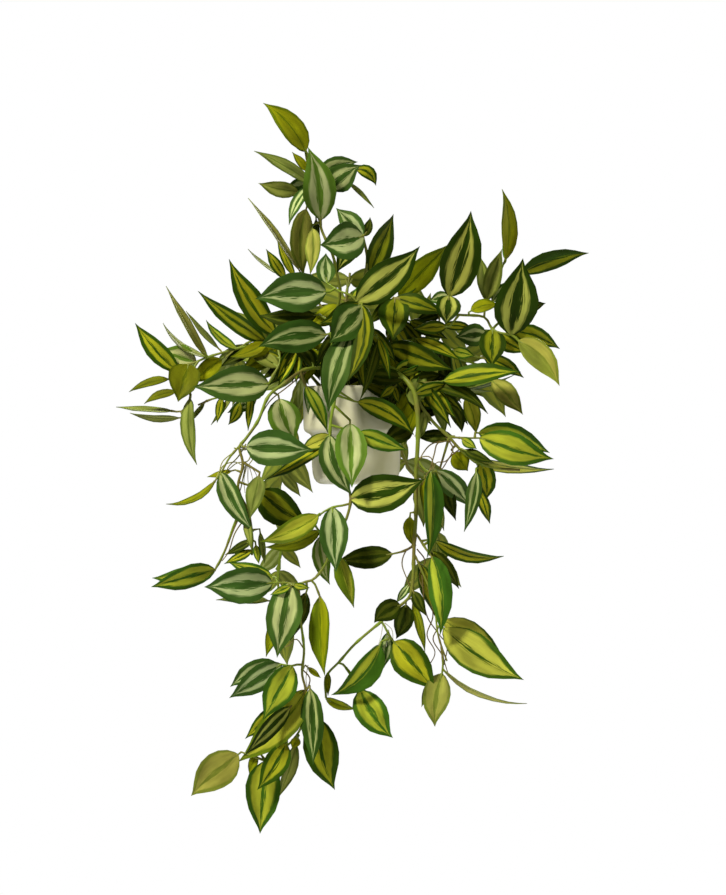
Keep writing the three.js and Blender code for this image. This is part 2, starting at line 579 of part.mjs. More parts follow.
// ---------------------------------------------------------------- sprays
// The smallest leaves are left to the pictures of the plant.
function isModelled([baseX, baseZ, tipX, tipZ, seenWidth]) {
  const length = Math.hypot(tipX - baseX, tipZ - baseZ);
  return length > LONG_LEAF || length * seenWidth > LEAST_LEAF_AREA;
}

function buildSpray(routes, leaves, facing) {
  const axes = sprayAxes(routes);
  let solid = toSolid(stemGeometry(axes[0], STEM_RADIUS, STEM_TIP_RADIUS));
  for (const axis of axes.slice(1)) solid = solid.add(toSolid(stemGeometry(axis, TWIG_RADIUS, TWIG_TIP_RADIUS)));
  for (const leaf of leaves.filter(isModelled)) solid = solid.add(toSolid(leafGeometry(leaf, axes, facing)));
  return toGeometry(solid);
}

// Leaves of a back stem, in the same form as the listed ones.
function backLeaves(route, first, spacing, leafLength, seed) {
  const random = seeded(seed);
  const curve = new THREE.CatmullRomCurve3(route.map(([x, z, y]) => new THREE.Vector3(x, y, z)), false, 'catmullrom');
  const total = curve.getLength();
  const leaves = [];
  let turn = random() * 6;
  for (let distance = first; distance <= total; distance += spacing) {
    const at = curve.getPointAt(distance / total);
    const along = curve.getTangentAt(distance / total);
    turn += TURN_PER_LEAF;
    const sideways = Math.cos(turn);
    const droop = -0.35 - 0.5 * random();
    const length = leafLength * (0.75 + 0.4 * random());
    const reach = new THREE.Vector3(
      along.x * 0.5 + sideways * along.z * 0.9 + (sideways > 0 ? 0.25 : -0.25),
      0.2 + 0.5 * Math.abs(Math.sin(turn)),
      along.z * 0.4 - sideways * along.x * 0.9 + droop * 0.5,
    ).normalize().multiplyScalar(length);
    const seenLength = Math.hypot(reach.x, reach.z);
    leaves.push([at.x, at.z, at.x + reach.x, at.z + reach.z, 0.4 * Math.min(length, seenLength * 1.2),
      random() < 0.5 ? 1 : -1, 4 * random() - 2, reach.y]);
  }
  return leaves;
}

// ---------------------------------------------------------------- pot and soil
function potGeometry() {
  const outer = new THREE.Path();
  outer.moveTo(0, FOOT_BOTTOM);
  outer.lineTo(FOOT_RADIUS, FOOT_BOTTOM);
  outer.bezierCurveTo(FOOT_RADIUS + 7, FOOT_BOTTOM, BODY_RADIUS - 0.6, -42, BODY_RADIUS - 0.4, -26);
  outer.lineTo(BODY_RADIUS, -4);
  outer.bezierCurveTo(BODY_RADIUS + 0.2, 0, COLLAR_RADIUS - 1, -1, COLLAR_RADIUS - 0.6, 6);
  outer.lineTo(COLLAR_RADIUS, 40);
  outer.bezierCurveTo(COLLAR_RADIUS, RIM_TOP + 0.8, COLLAR_RADIUS - WALL, RIM_TOP + 0.8, COLLAR_RADIUS - WALL, 41);
  outer.lineTo(COLLAR_RADIUS - WALL, 9);
  outer.lineTo(BODY_RADIUS - WALL, 1);
  outer.lineTo(BODY_RADIUS - WALL, -28);
  outer.lineTo(FOOT_RADIUS - 1, FOOT_BOTTOM + WALL + 1);
  outer.lineTo(0, FOOT_BOTTOM + WALL + 1);
  return lathed(outer.getPoints(3));
}

// Turns a profile of (radius, height) round the Z axis.
function lathed(profile) {
  return new THREE.LatheGeometry(profile, POT_SIDES).rotateX(Math.PI / 2);
}

function soilSolid(stemFeet) {
  const profile = [
    [0, FOOT_BOTTOM + WALL + 1 + SOIL_GAP],
    [FOOT_RADIUS - 1.3, FOOT_BOTTOM + WALL + 1 + SOIL_GAP],
    [BODY_RADIUS - WALL - SOIL_GAP, -28],
    [BODY_RADIUS - WALL - SOIL_GAP, 1.2],
    [COLLAR_RADIUS - WALL - SOIL_GAP, 9.2],
    [COLLAR_RADIUS - WALL - SOIL_GAP, SOIL_TOP - 1],
    [30, SOIL_TOP],
    [0, SOIL_TOP + 1],
  ].map(([radius, height]) => new THREE.Vector2(radius, height));
  let solid = toSolid(lathed(profile));
  const depth = SOIL_TOP + 4 - (STEM_ROOT_Z - 2);
  for (const foot of stemFeet) {
    const bore = new THREE.CylinderGeometry(HOLE_RADIUS, HOLE_RADIUS, depth, 6).rotateX(Math.PI / 2);
    bore.translate(foot.x, foot.y, STEM_ROOT_Z - 2 + depth / 2);
    solid = solid.subtract(toSolid(bore));
  }
  return solid;
}

// ---------------------------------------------------------------- assembly
function addMesh(group, name, geometry, colour, roughness) {
  const material = new THREE.MeshStandardMaterial({ color: colour, roughness, metalness: 0 });
  const mesh = new THREE.Mesh(geometry, material);
  mesh.name = name;
  group.add(mesh);
}

const plant = new THREE.Group();
addMesh(plant, 'pot', toGeometry(toSolid(potGeometry())), COLOURS.pot, 0.15);

const feet = [...SPRAYS.map(([, routes]) => routes[0][0]), ...BACK_SPRAYS.map(([, route]) => route[0])]
  .map(([x, z, depth]) => seenPlace(x, z, depth));
addMesh(plant, 'soil', toGeometry(soilSolid(feet)), COLOURS.soil, 0.95);

for (const [name, routes, leaves] of SPRAYS) {
  addMesh(plant, name, buildSpray(routes, leaves, FRONT), COLOURS.leaf, 0.45);
}
for (const [name, route, first, spacing, leafLength, seed] of BACK_SPRAYS) {
  const leaves = backLeaves(route, first, spacing, leafLength, seed);
  addMesh(plant, name, buildSpray([route], leaves, BACKWARDS), COLOURS.leaf, 0.45);
}

export default plant;
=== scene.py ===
import math
import random

import bpy
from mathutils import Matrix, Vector, noise


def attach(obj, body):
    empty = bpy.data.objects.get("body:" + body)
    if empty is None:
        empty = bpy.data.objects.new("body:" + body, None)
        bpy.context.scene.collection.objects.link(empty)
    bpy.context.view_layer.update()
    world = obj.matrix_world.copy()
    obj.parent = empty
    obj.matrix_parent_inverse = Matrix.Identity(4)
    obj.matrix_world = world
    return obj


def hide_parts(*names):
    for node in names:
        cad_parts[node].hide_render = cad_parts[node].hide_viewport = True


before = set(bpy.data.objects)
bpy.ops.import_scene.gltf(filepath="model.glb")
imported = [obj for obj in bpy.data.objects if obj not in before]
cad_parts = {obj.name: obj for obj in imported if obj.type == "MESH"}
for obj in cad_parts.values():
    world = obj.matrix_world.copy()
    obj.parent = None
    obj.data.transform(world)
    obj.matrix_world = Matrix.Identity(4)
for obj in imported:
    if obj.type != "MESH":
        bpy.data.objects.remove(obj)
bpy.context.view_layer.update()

# ---------------------------------------------------------------- pot
# A ceramic pot in thick white glaze, with a round foot, a narrower body and a wide collar
# with a rolled lip. It is hollow, with a 4 mm wall and a shallow foot ring.
MM = 0.001
POT_SIDES = 72
COLLAR_RADIUS = 53.0
RIM_TOP = 46.5
FOOT = [(29.0, -49.6), (29.8, -50.8), (33.0, -51.0), (36.5, -50.6), (39.6, -48.8), (42.0, -45.2),
        (43.4, -40.0), (44.0, -33.0), (44.2, -26.0)]
BODY = [(44.4, -15.0), (44.5, -5.0), (44.9, -2.6), (46.6, -0.9), (49.0, 0.2), (51.2, 1.8),
        (52.3, 4.6), (52.6, 9.0)]
COLLAR = [(52.8, 22.0), (COLLAR_RADIUS, 38.0), (COLLAR_RADIUS, 42.0), (52.6, 44.6), (51.8, 46.2),
          (50.8, RIM_TOP), (49.8, 46.0), (49.1, 44.2), (49.0, 41.0)]
INSIDE = [(49.0, 26.0), (49.0, 9.0), (47.6, 6.0), (42.6, 3.2), (40.6, 0.0), (40.5, -12.0),
          (40.5, -28.0), (38.6, -38.0), (32.0, -45.4), (20.0, -46.0), (8.0, -46.0)]


def start_ring(name, radius, height, sides, fill):
    """A new piece that is one level ring, left in edit mode with all of it selected."""
    bpy.ops.object.select_all(action="DESELECT")
    bpy.ops.mesh.primitive_circle_add(vertices=sides, radius=radius * MM,
                                      location=(0, 0, height * MM), fill_type=fill)
    ring = bpy.context.object
    ring.name = name
    bpy.ops.object.transform_apply(location=True)
    bpy.ops.object.mode_set(mode="EDIT")
    bpy.ops.mesh.select_all(action="SELECT")
    return ring


def extrude_rings(radius, height, profile):
    """Carries the selected ring on through a profile of (radius, height)."""
    for next_radius, next_height in profile:
        bpy.ops.mesh.extrude_region_move(
            TRANSFORM_OT_translate={"value": (0, 0, (next_height - height) * MM)})
        bpy.ops.transform.resize(value=(next_radius / radius, next_radius / radius, 1),
                                 center_override=(0, 0, next_height * MM))
        radius, height = next_radius, next_height


def pick_corners(piece, wanted):
    """Edit mode with only the wanted corners of a piece selected."""
    bpy.ops.object.mode_set(mode="EDIT")
    bpy.ops.mesh.select_mode(type="VERT")
    bpy.ops.mesh.select_all(action="DESELECT")
    bpy.ops.object.mode_set(mode="OBJECT")
    for vertex in piece.data.vertices:
        vertex.select = wanted(vertex.co)
    bpy.ops.object.mode_set(mode="EDIT")


def start_material(name):
    """A new material, its node tree and its shader."""
    material = bpy.data.materials.new(name)
    material.use_nodes = True
    return material, material.node_tree, material.node_tree.nodes["Principled BSDF"]


def noise_field(tree, scale, detail, roughness=0.5):
    """Noise over the object's own coordinates."""
    place = tree.nodes.new("ShaderNodeTexCoord")
    field = tree.nodes.new("ShaderNodeTexNoise")
    field.inputs["Scale"].default_value = scale
    field.inputs["Detail"].default_value = detail
    field.inputs["Roughness"].default_value = roughness
    tree.links.new(place.outputs["Object"], field.inputs["Vector"])
    return field.outputs["Fac"]


def two_tones(tree, field, low, high):
    """Colours the shader by noise: low and high are (place in the noise, colour)."""
    tones = tree.nodes.new("ShaderNodeValToRGB")
    for stop, (place, colour) in zip(tones.color_ramp.elements, (low, high)):
        stop.position = place
        stop.color = (*colour, 1)
    tree.links.new(field, tones.inputs["Fac"])
    tree.links.new(tones.outputs["Color"], tree.nodes["Principled BSDF"].inputs["Base Color"])


def mottled(name, low, high, mottle, rough, grain, strength, distance):
    """Two tones broken up by noise, which also sets how rough it is, over a fine relief.

    mottle and grain are (scale, detail) or (scale, detail, roughness) of a noise, rough is
    (roughness at the low tone, roughness at the high one), and distance is in metres.
    """
    material, tree, shader = start_material(name)
    field = noise_field(tree, *mottle)
    two_tones(tree, field, low, high)
    gloss = tree.nodes.new("ShaderNodeMapRange")
    gloss.inputs["To Min"].default_value = rough[0]
    gloss.inputs["To Max"].default_value = rough[1]
    tree.links.new(field, gloss.inputs["Value"])
    tree.links.new(gloss.outputs["Result"], shader.inputs["Roughness"])
    relief = tree.nodes.new("ShaderNodeBump")
    relief.inputs["Strength"].default_value = strength
    relief.inputs["Distance"].default_value = distance
    tree.links.new(noise_field(tree, *grain), relief.inputs["Height"])
    tree.links.new(relief.outputs["Normal"], shader.inputs["Normal"])
    return material


pot = start_ring("pot_glazed", *FOOT[0], POT_SIDES, "NOTHING")
extrude_rings(*FOOT[0], FOOT[1:] + BODY + COLLAR + INSIDE)
bpy.ops.mesh.extrude_region_move()
bpy.ops.mesh.merge(type="CENTER")
pick_corners(pot, lambda co: abs(co.z / MM - FOOT[0][1]) < 0.01)
bpy.ops.mesh.extrude_region_move()
bpy.ops.mesh.merge(type="CENTER")
bpy.ops.mesh.select_all(action="SELECT")
bpy.ops.mesh.normals_make_consistent(inside=False)
bpy.ops.object.mode_set(mode="OBJECT")
bpy.ops.object.shade_smooth()

# The glaze's two tones are cream with a khaki cast: partly the glaze's own cream and partly a painted warm
# reflection of the leaves round the pot.
glaze = mottled("white_glaze", low=(0.3, (0.77, 0.735, 0.500)), high=(0.7, (0.91, 0.885, 0.750)),
                mottle=(22, 3), rough=(0.16, 0.30), grain=(60, 2), strength=0.12, distance=0.0015)
shader = glaze.node_tree.nodes["Principled BSDF"]
shader.inputs["Coat Weight"].default_value = 0.35
shader.inputs["Coat Roughness"].default_value = 0.12
pot.data.materials.append(glaze)
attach(pot, "root")
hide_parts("pot")

# ---------------------------------------------------------------- soil
# Dark peat and bark, pressed level about 10 mm under the lip. It fills the pot, and its top
# is lumpy with small chips of bark that lie loose on it.
SOIL_RADIUS = 48.6
SOIL_LEVEL = 35.4
SOIL_SIDE = [(SOIL_RADIUS, 9.3), (40.1, 1.3), (40.1, -28.0), (31.6, -45.5)]
SOIL_RINGS = 11
RING_WIDTH = 4.1
LEVEL_EDGE = 3.0          # the lumps die away over this width at the wall
CHIPS = 90
CHIP_SPREAD = 46          # how far from the pot's axis they lie
CHIP_LEVEL = SOIL_LEVEL + 0.5
CHIP_SIZES = (1.0, 2.6)
SMOOTH_UP_TO = math.radians(50)

soil = start_ring("soil_top", SOIL_RADIUS, SOIL_LEVEL, 64, "NGON")
for ring in range(SOIL_RINGS):
    bpy.ops.mesh.inset(thickness=RING_WIDTH * MM)
bpy.ops.mesh.poke()
bpy.ops.mesh.select_all(action="SELECT")
bpy.ops.mesh.subdivide(number_cuts=1)
bpy.ops.object.mode_set(mode="OBJECT")
for vertex in soil.data.vertices:
    inwards = min(1.0, (SOIL_RADIUS * MM - vertex.co.xy.length) / (LEVEL_EDGE * MM))
    lump = noise.noise(vertex.co * 130) + 0.5 * noise.noise(vertex.co * 420)
    vertex.co.z += inwards * (0.5 + 0.9 * lump) * MM
bpy.ops.object.mode_set(mode="EDIT")
bpy.ops.mesh.select_all(action="DESELECT")
bpy.ops.mesh.select_non_manifold(extend=False)
extrude_rings(SOIL_RADIUS, SOIL_LEVEL, SOIL_SIDE)
bpy.ops.mesh.edge_face_add()
bpy.ops.mesh.select_all(action="SELECT")
bpy.ops.mesh.normals_make_consistent(inside=False)
bpy.ops.object.mode_set(mode="OBJECT")
bpy.ops.object.shade_smooth_by_angle(angle=SMOOTH_UP_TO)


def join_pieces(name, pieces):
    """One piece made of several."""
    bpy.ops.object.select_all(action="DESELECT")
    for piece in pieces:
        piece.select_set(True)
    bpy.context.view_layer.objects.active = pieces[0]
    bpy.ops.object.join()
    joined = bpy.context.object
    joined.name = name
    return joined


bpy.ops.object.select_all(action="DESELECT")
bpy.ops.mesh.primitive_ico_sphere_add(subdivisions=1, radius=1)
chip = bpy.context.object
chips = random.Random(4)
barks = []
for count in range(CHIPS):
    turn = chips.uniform(0, math.tau)
    out = CHIP_SPREAD * math.sqrt(chips.random())
    size = chips.uniform(*CHIP_SIZES)
    bark = chip.copy()
    bark.data = chip.data.copy()
    bpy.context.collection.objects.link(bark)
    spot = Vector((out * math.cos(turn), out * math.sin(turn), CHIP_LEVEL)) * MM
    lie = Vector((math.cos(turn * 3.1), math.sin(turn * 3.1), 0))
    for vertex in bark.data.vertices:
        flat = vertex.co.copy()
        flat *= 1 + 0.35 * noise.noise(flat * 2 + Vector((count, 0, 0)))
        flat.z *= 0.45
        flat += lie * flat.dot(lie) * 0.6
        vertex.co = spot + flat * size * MM
    barks.append(bark)
bpy.data.objects.remove(chip)
bark_chips = join_pieces("bark_chips", barks)


def earth(name, dark, light, scale):
    """Crumbled brown matter: two browns broken up by noise, rough and pitted."""
    crumbs = (scale, 6, 0.7)
    return mottled(name, low=(0.35, dark), high=(0.68, light), mottle=crumbs, rough=(0.98, 0.80),
                   grain=crumbs, strength=0.8, distance=0.0012)


soil.data.materials.append(earth("dark_peat", (0.010, 0.006, 0.003), (0.055, 0.034, 0.018), 700))
bark_chips.data.materials.append(earth("bark", (0.030, 0.016, 0.008), (0.130, 0.075, 0.040), 450))
for piece in (soil, bark_chips):
    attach(piece, "root")
    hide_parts("soil")

# ---------------------------------------------------------------- upright spray
# The tallest shoot stands at the left of the crown: round juicy stems, a little swollen in
# places, and blades folded along the midrib, pale-striped from base to tip.
EYE = Vector((7.0, -2500.0, -14.5))   # the point that the front view is seen from
SEEN_DEPTH = -50.0                    # usual depth of a leaf's base
FULL_RATIO = 0.44                     # width of a flat blade over its length
NARROW_SHARE = 0.35                   # how far a narrow-looking blade widens to that
FOLD = 0.28                           # each half of a blade rises from the midrib, radians
ARCH = 0.08                           # a blade's hump over its length
BLADE_THICKNESS = 0.65
LIFT = 4.5                            # a stalked base stands this far off its stem
STALK_LEAST = 6.0                     # a leaf nearer to its stem than this has no free stalk
STALK = (1.5, 1.1, 0.95, 0.9, 0.55)   # a stalk's radii, from the stem to inside the blade
SHORT_STALK = (1.6, 0.9, 0.5)         # the same for a blade that sits on its stem
STALK_BEND = 4.0                      # a stalk's last stretch, in line with its blade
INTO_BLADE = 3.0                      # how far a stalk runs on inside its blade
BASE_HALF_WIDTH = 0.9                 # a blade's, where its stalk joins it
RIPPLE = 0.05                         # height of a blade's ripple over its half-width
BESIDE_POT = (-56.0, 50.0)            # heights between which leaves keep clear of the pot
TIP_REACH = 58.0                      # tips stay this far from the pot's axis there
BLADE_REACH = 55.0                    # and the blades of tips further out this far
STEM_STEP = 5.0
STEM_ROOT_Z = 24.0                    # how deep a stem reaches in the soil
STEM_TIP = 1.15                       # a main stem's radius at its tip
SIDE_STEM = (1.3, 0.9)                # a side stem's radius at its start and tip
SWOLLEN = 1.28                        # a joint's radius over its stem's
JOINT_EVERY = 5                       # stem steps from one joint to the next
INNER_EVERY = 2                       # stem steps from one inner leaf to the next
INNER_TRIES = 10                      # places tried for an inner leaf's tip in the crown
INNER_LENGTHS = (30, 58)              # least and greatest
HIDDEN_FROM = (40, 12)                # least length and width that hide a second leaf
CROWN = [(-6, 88, 110, 44), (74, 36, 42, 48)]   # ovals: middle x and z, half-sizes
FRONT = Vector((0, -1, 0))
BACKWARDS = Vector((0, 1, 0))

# Colouring: the pale stripe, the dark margin and midrib, where the stripe starts and ends
# from the midrib to the edge, and how ragged its edges are. A + or - after a row's letter
# leaves the stripe to the left or right half only, as seen with the tip up. The colourings
# e, m and d are painted shade: e is o darkened, m is y dimmed and d is the darkest, for
# leaves that lie in the crown's shade.
COLOURINGS = {
    "w": ((0.500, 0.580, 0.255), (0.050, 0.115, 0.018), 0.22, 0.60, 0.15),
    "h": ((0.330, 0.390, 0.150), (0.028, 0.072, 0.009), 0.30, 0.54, 0.17),
    "c": ((0.500, 0.520, 0.095), (0.022, 0.052, 0.003), 0.24, 0.64, 0.16),
    "y": ((0.400, 0.410, 0.018), (0.036, 0.090, 0.005), 0.14, 0.66, 0.16),
    "b": ((0.420, 0.470, 0.036), (0.046, 0.130, 0.010), 0.14, 0.70, 0.14),
    "v": ((0.500, 0.540, 0.240), (0.110, 0.210, 0.020), 0.20, 0.64, 0.12),
    "o": ((0.290, 0.315, 0.006), (0.125, 0.175, 0.004), 0.08, 0.88, 0.20),
    # painted shade: o darkened, for leaves that lie in shade
    "e": ((0.150, 0.170, 0.006), (0.085, 0.115, 0.004), 0.08, 0.88, 0.20),
    "g": ((0.260, 0.300, 0.060), (0.130, 0.175, 0.025), 0.12, 0.80, 0.10),
    "p": ((0.380, 0.380, 0.070), (0.190, 0.235, 0.030), 0.14, 0.84, 0.12),
    "q": ((0.430, 0.440, 0.035), (0.130, 0.190, 0.008), 0.07, 0.80, 0.18),
    # painted shade: y dimmed, for leaves in the crown's shade
    "m": ((0.230, 0.245, 0.010), (0.024, 0.052, 0.003), 0.14, 0.60, 0.16),
    # painted shade: the darkest leaves, deep inside the crown
    "d": ((0.080, 0.100, 0.008), (0.022, 0.040, 0.002), 0.20, 0.60, 0.16),
    "l": ((0.560, 0.570, 0.075), (0.050, 0.120, 0.008), 0.06, 0.90, 0.18),
}
# Mostly the painted-shade colourings d and m, for the leaves inside the crown.
INNER_COLOURINGS = "dddmmyobg"
HIDDEN_COLOURINGS = "ymbowv"

bpy.ops.object.select_all(action="DESELECT")
bpy.ops.mesh.primitive_grid_add(x_subdivisions=10, y_subdivisions=6, size=1)
blade_form = bpy.context.object
blade_form.name = "blade_form"
for vertex in blade_form.data.vertices:
    vertex.co.x = max(0.0, 0.5 - 0.5 * math.cos(math.pi * (vertex.co.x + 0.5)))
    vertex.co.y = 2 * vertex.co.y
for corner in blade_form.data.loops:
    flat = blade_form.data.vertices[corner.vertex_index].co
    blade_form.data.uv_layers[0].data[corner.index].uv = (flat.x, 0.5 + 0.5 * flat.y)
pick_corners(blade_form, lambda co: co.x > 0.999)
bpy.ops.mesh.merge(type="CENTER")
bpy.ops.object.mode_set(mode="OBJECT")


def blade_outline(u):
    """Half-width over the full half-width: round at the base, drawn out at the tip."""
    body = u ** 0.7 * (1 - u) ** 1.12 / 0.2975   # the product's greatest value
    drawn_out = min(1.0, max(0.0, (u - 0.7) / 0.25))
    return body * (1 - 0.35 * drawn_out ** 2 * (3 - 2 * drawn_out))


def seen_place(x, z, depth):
    """A place on the plant from where it is seen from the front, in millimetres."""
    scale = 1 + depth / -EYE.y
    return Vector((EYE.x + (x - EYE.x) * scale, depth, EYE.z + (z - EYE.z) * scale))


def smooth_line(places, step):
    """Even steps along a smooth curve through the places."""
    ends = [2 * places[0] - places[1], *places, 2 * places[-1] - places[-2]]
    fine = []
    for a, b, c, d in zip(ends, ends[1:], ends[2:], ends[3:]):
        for i in range(20):
            t = i / 20
            fine.append(b + 0.5 * t * ((c - a) + t * ((2 * a - 5 * b + 4 * c - d)
                                                      + t * (3 * b - a - 3 * c + d))))
    fine.append(places[-1])
    lengths = [0.0]
    for before, after in zip(fine, fine[1:]):
        lengths.append(lengths[-1] + (after - before).length)
    steps = max(2, round(lengths[-1] / step))
    line = []
    i = 0
    for k in range(steps + 1):
        goal = lengths[-1] * k / steps
        while i < len(fine) - 2 and lengths[i + 1] < goal:
            i += 1
        part = (goal - lengths[i]) / max(lengths[i + 1] - lengths[i], 1e-6)
        line.append(fine[i].lerp(fine[i + 1], min(part, 1.0)))
    return line


def stalk_start(base, heading, stems):
    """The place on the stems that a leaf grows from: near its base and behind it."""
    best = None
    for line in stems:
        for i, point in enumerate(line):
            if math.hypot(point.x, point.y) < COLLAR_RADIUS and point.z < RIM_TOP:
                continue
            flat = base - point
            flat.y = 0
            facing = flat.dot(heading) / flat.length if flat.length > 0.5 else 1
            cost = (flat.length + 2) * (1.7 - facing)   # least for a near place behind the leaf
            if best is None or cost < best[0]:
                along = (line[min(i + 1, len(line) - 1)] - line[max(i - 1, 0)]).normalized()
                best = (cost, point, along, i == len(line) - 1)
    return best[1:]


def beside_pot(spot, margin):
    """Whether a place is level with the pot, by a margin from its ends."""
    return BESIDE_POT[0] + margin < spot.z < BESIDE_POT[1] - margin


def leaf_stalk(root, base, start):
    """A stalk from its stem to inside its blade, in lines of (place, radius)."""
    if (base - root).length < 0.5:
        places = (root, root + start * INTO_BLADE, root + start * 2 * INTO_BLADE)
        return list(zip(places, SHORT_STALK))
    bend = base - start * min(STALK_BEND, (base - root).length * 0.5)
    places = (root, root.lerp(bend, 0.5), bend, base, base + start * INTO_BLADE)
    return list(zip(places, STALK))


def colour_leaf(blade, colouring, chance):
    """Writes a blade's colouring, a little lighter or warmer by chance, to its corners."""
    pale, dark, inner, outer, ragged = COLOURINGS[colouring[0]]
    one_sided = {"+": 1.0, "-": -1.0}.get(colouring[1:], 0.0)
    tone = chance.uniform(0.86, 1.12)
    warm = chance.uniform(-0.05, 0.05)
    marks = (inner * chance.uniform(0.8, 1.25), outer * chance.uniform(0.94, 1.05), ragged,
             chance.random())
    tints = {
        "pale_tint": (pale[0] * (tone + warm), pale[1] * tone, pale[2] * (tone - warm), one_sided),
        "dark_tint": (dark[0] * (tone + warm), dark[1] * tone, dark[2] * (tone - warm), 1),
        "marks": marks,
    }
    for label, value in tints.items():
        layer = blade.data.attributes.new(label, "FLOAT_COLOR", "POINT")
        layer.data.foreach_set("color", value * len(blade.data.vertices))


def grow_leaf(leaf, stems, chance, facing):
    """One blade bent to its row with its upper face turned to facing, and its stalk."""
    base_x, base_z, tip_x, tip_z, seen_width, side, bow, tip_depth, colouring = leaf
    heading = Vector((tip_x - base_x, 0, tip_z - base_z)).normalized()
    root, along_stem, at_end = stalk_start(seen_place(base_x, base_z, SEEN_DEPTH), heading, stems)
    tip = seen_place(tip_x, tip_z, root.y + tip_depth)
    if beside_pot(tip, 0) and tip.xy.length < TIP_REACH:
        tip.xy = tip.xy * TIP_REACH / tip.xy.length
    base = seen_place(base_x, base_z, root.y)
    along_its_stem = abs(heading.dot(along_stem)) > 0.75 and not at_end
    if along_its_stem or (base - root).length > STALK_LEAST:
        base.y += LIFT if tip_depth > 0 else -LIFT
    else:
        base = root.copy()
    length = (tip - base).length
    full = FULL_RATIO * length
    width = seen_width if seen_width >= full else seen_width + NARROW_SHARE * (full - seen_width)
    roll = side * math.acos(min(1.0, seen_width / width))
    leftwards = Vector((-heading.z, 0, heading.x))
    hump = (base + tip) / 2 + 2 * bow * leftwards + 2 * ARCH * length * facing
    wave = chance.uniform(0, math.tau)
    uneven = chance.uniform(0.02, 0.06)
    curl = chance.uniform(0.05, 0.16)
    blade = blade_form.copy()
    blade.data = blade_form.data.copy()
    bpy.context.collection.objects.link(blade)
    for vertex in blade.data.vertices:
        u, v = vertex.co.x, vertex.co.y
        centre = base.lerp(hump, u).lerp(hump.lerp(tip, u), u)
        along = ((hump - base) * (1 - u) + (tip - hump) * u).normalized()
        left = facing.cross(along).normalized()
        front = along.cross(left).normalized()
        across = math.cos(roll) * left + math.sin(roll) * front
        up = math.cos(roll) * front - math.sin(roll) * left
        half = max(0.5 * width * blade_outline(u), BASE_HALF_WIDTH * (1 - u))
        half *= 1 + uneven * math.sin(7 * u + wave + (2 if v > 0 else 0))
        rise = abs(v) * math.sin(FOLD) - curl * v * v
        rise += RIPPLE * v * v * math.sin(11 * u + 2 * wave + (1.3 if v > 0 else 0))
        middle = centre + left * half * math.sin(FOLD) * math.sin(roll) * 0.6
        spot = middle + across * v * half * math.cos(FOLD) + up * rise * half
        if beside_pot(spot, 2) and spot.xy.length < BLADE_REACH < tip.xy.length:
            spot.xy = spot.xy * BLADE_REACH / spot.xy.length
        vertex.co = spot * MM
    colour_leaf(blade, colouring, chance)
    return blade, leaf_stalk(root, base, (hump - base).normalized())


def grow_stems(name, lines):
    """Round stems through lines of (place, radius in mm)."""
    bpy.ops.object.select_all(action="DESELECT")
    bpy.ops.curve.primitive_bezier_curve_add(location=(0, 0, 0))
    stems = bpy.context.object
    stems.name = name
    shape = stems.data
    shape.splines.clear()
    shape.dimensions = "3D"
    shape.bevel_depth = MM
    shape.bevel_resolution = 1
    shape.use_fill_caps = True
    for line in lines:
        spline = shape.splines.new("POLY")
        spline.points.add(len(line) - 1)
        for point, (spot, radius) in zip(spline.points, line):
            point.co = (*(spot * MM), 1)
            point.radius = radius
    bpy.ops.object.convert(target="MESH")
    bpy.ops.object.shade_smooth()
    return bpy.context.object


def stem_skin(name, tone, other_tone):
    """Juicy stem that changes to another tone in stretches, with a fine grain."""
    material = mottled(name, low=(0.40, tone), high=(0.62, other_tone), mottle=(26, 4),
                       rough=(0.38, 0.62), grain=(900, 2), strength=0.35, distance=0.0004)
    shader = material.node_tree.nodes["Principled BSDF"]
    shader.inputs["Specular IOR Level"].default_value = 0.4
    return material


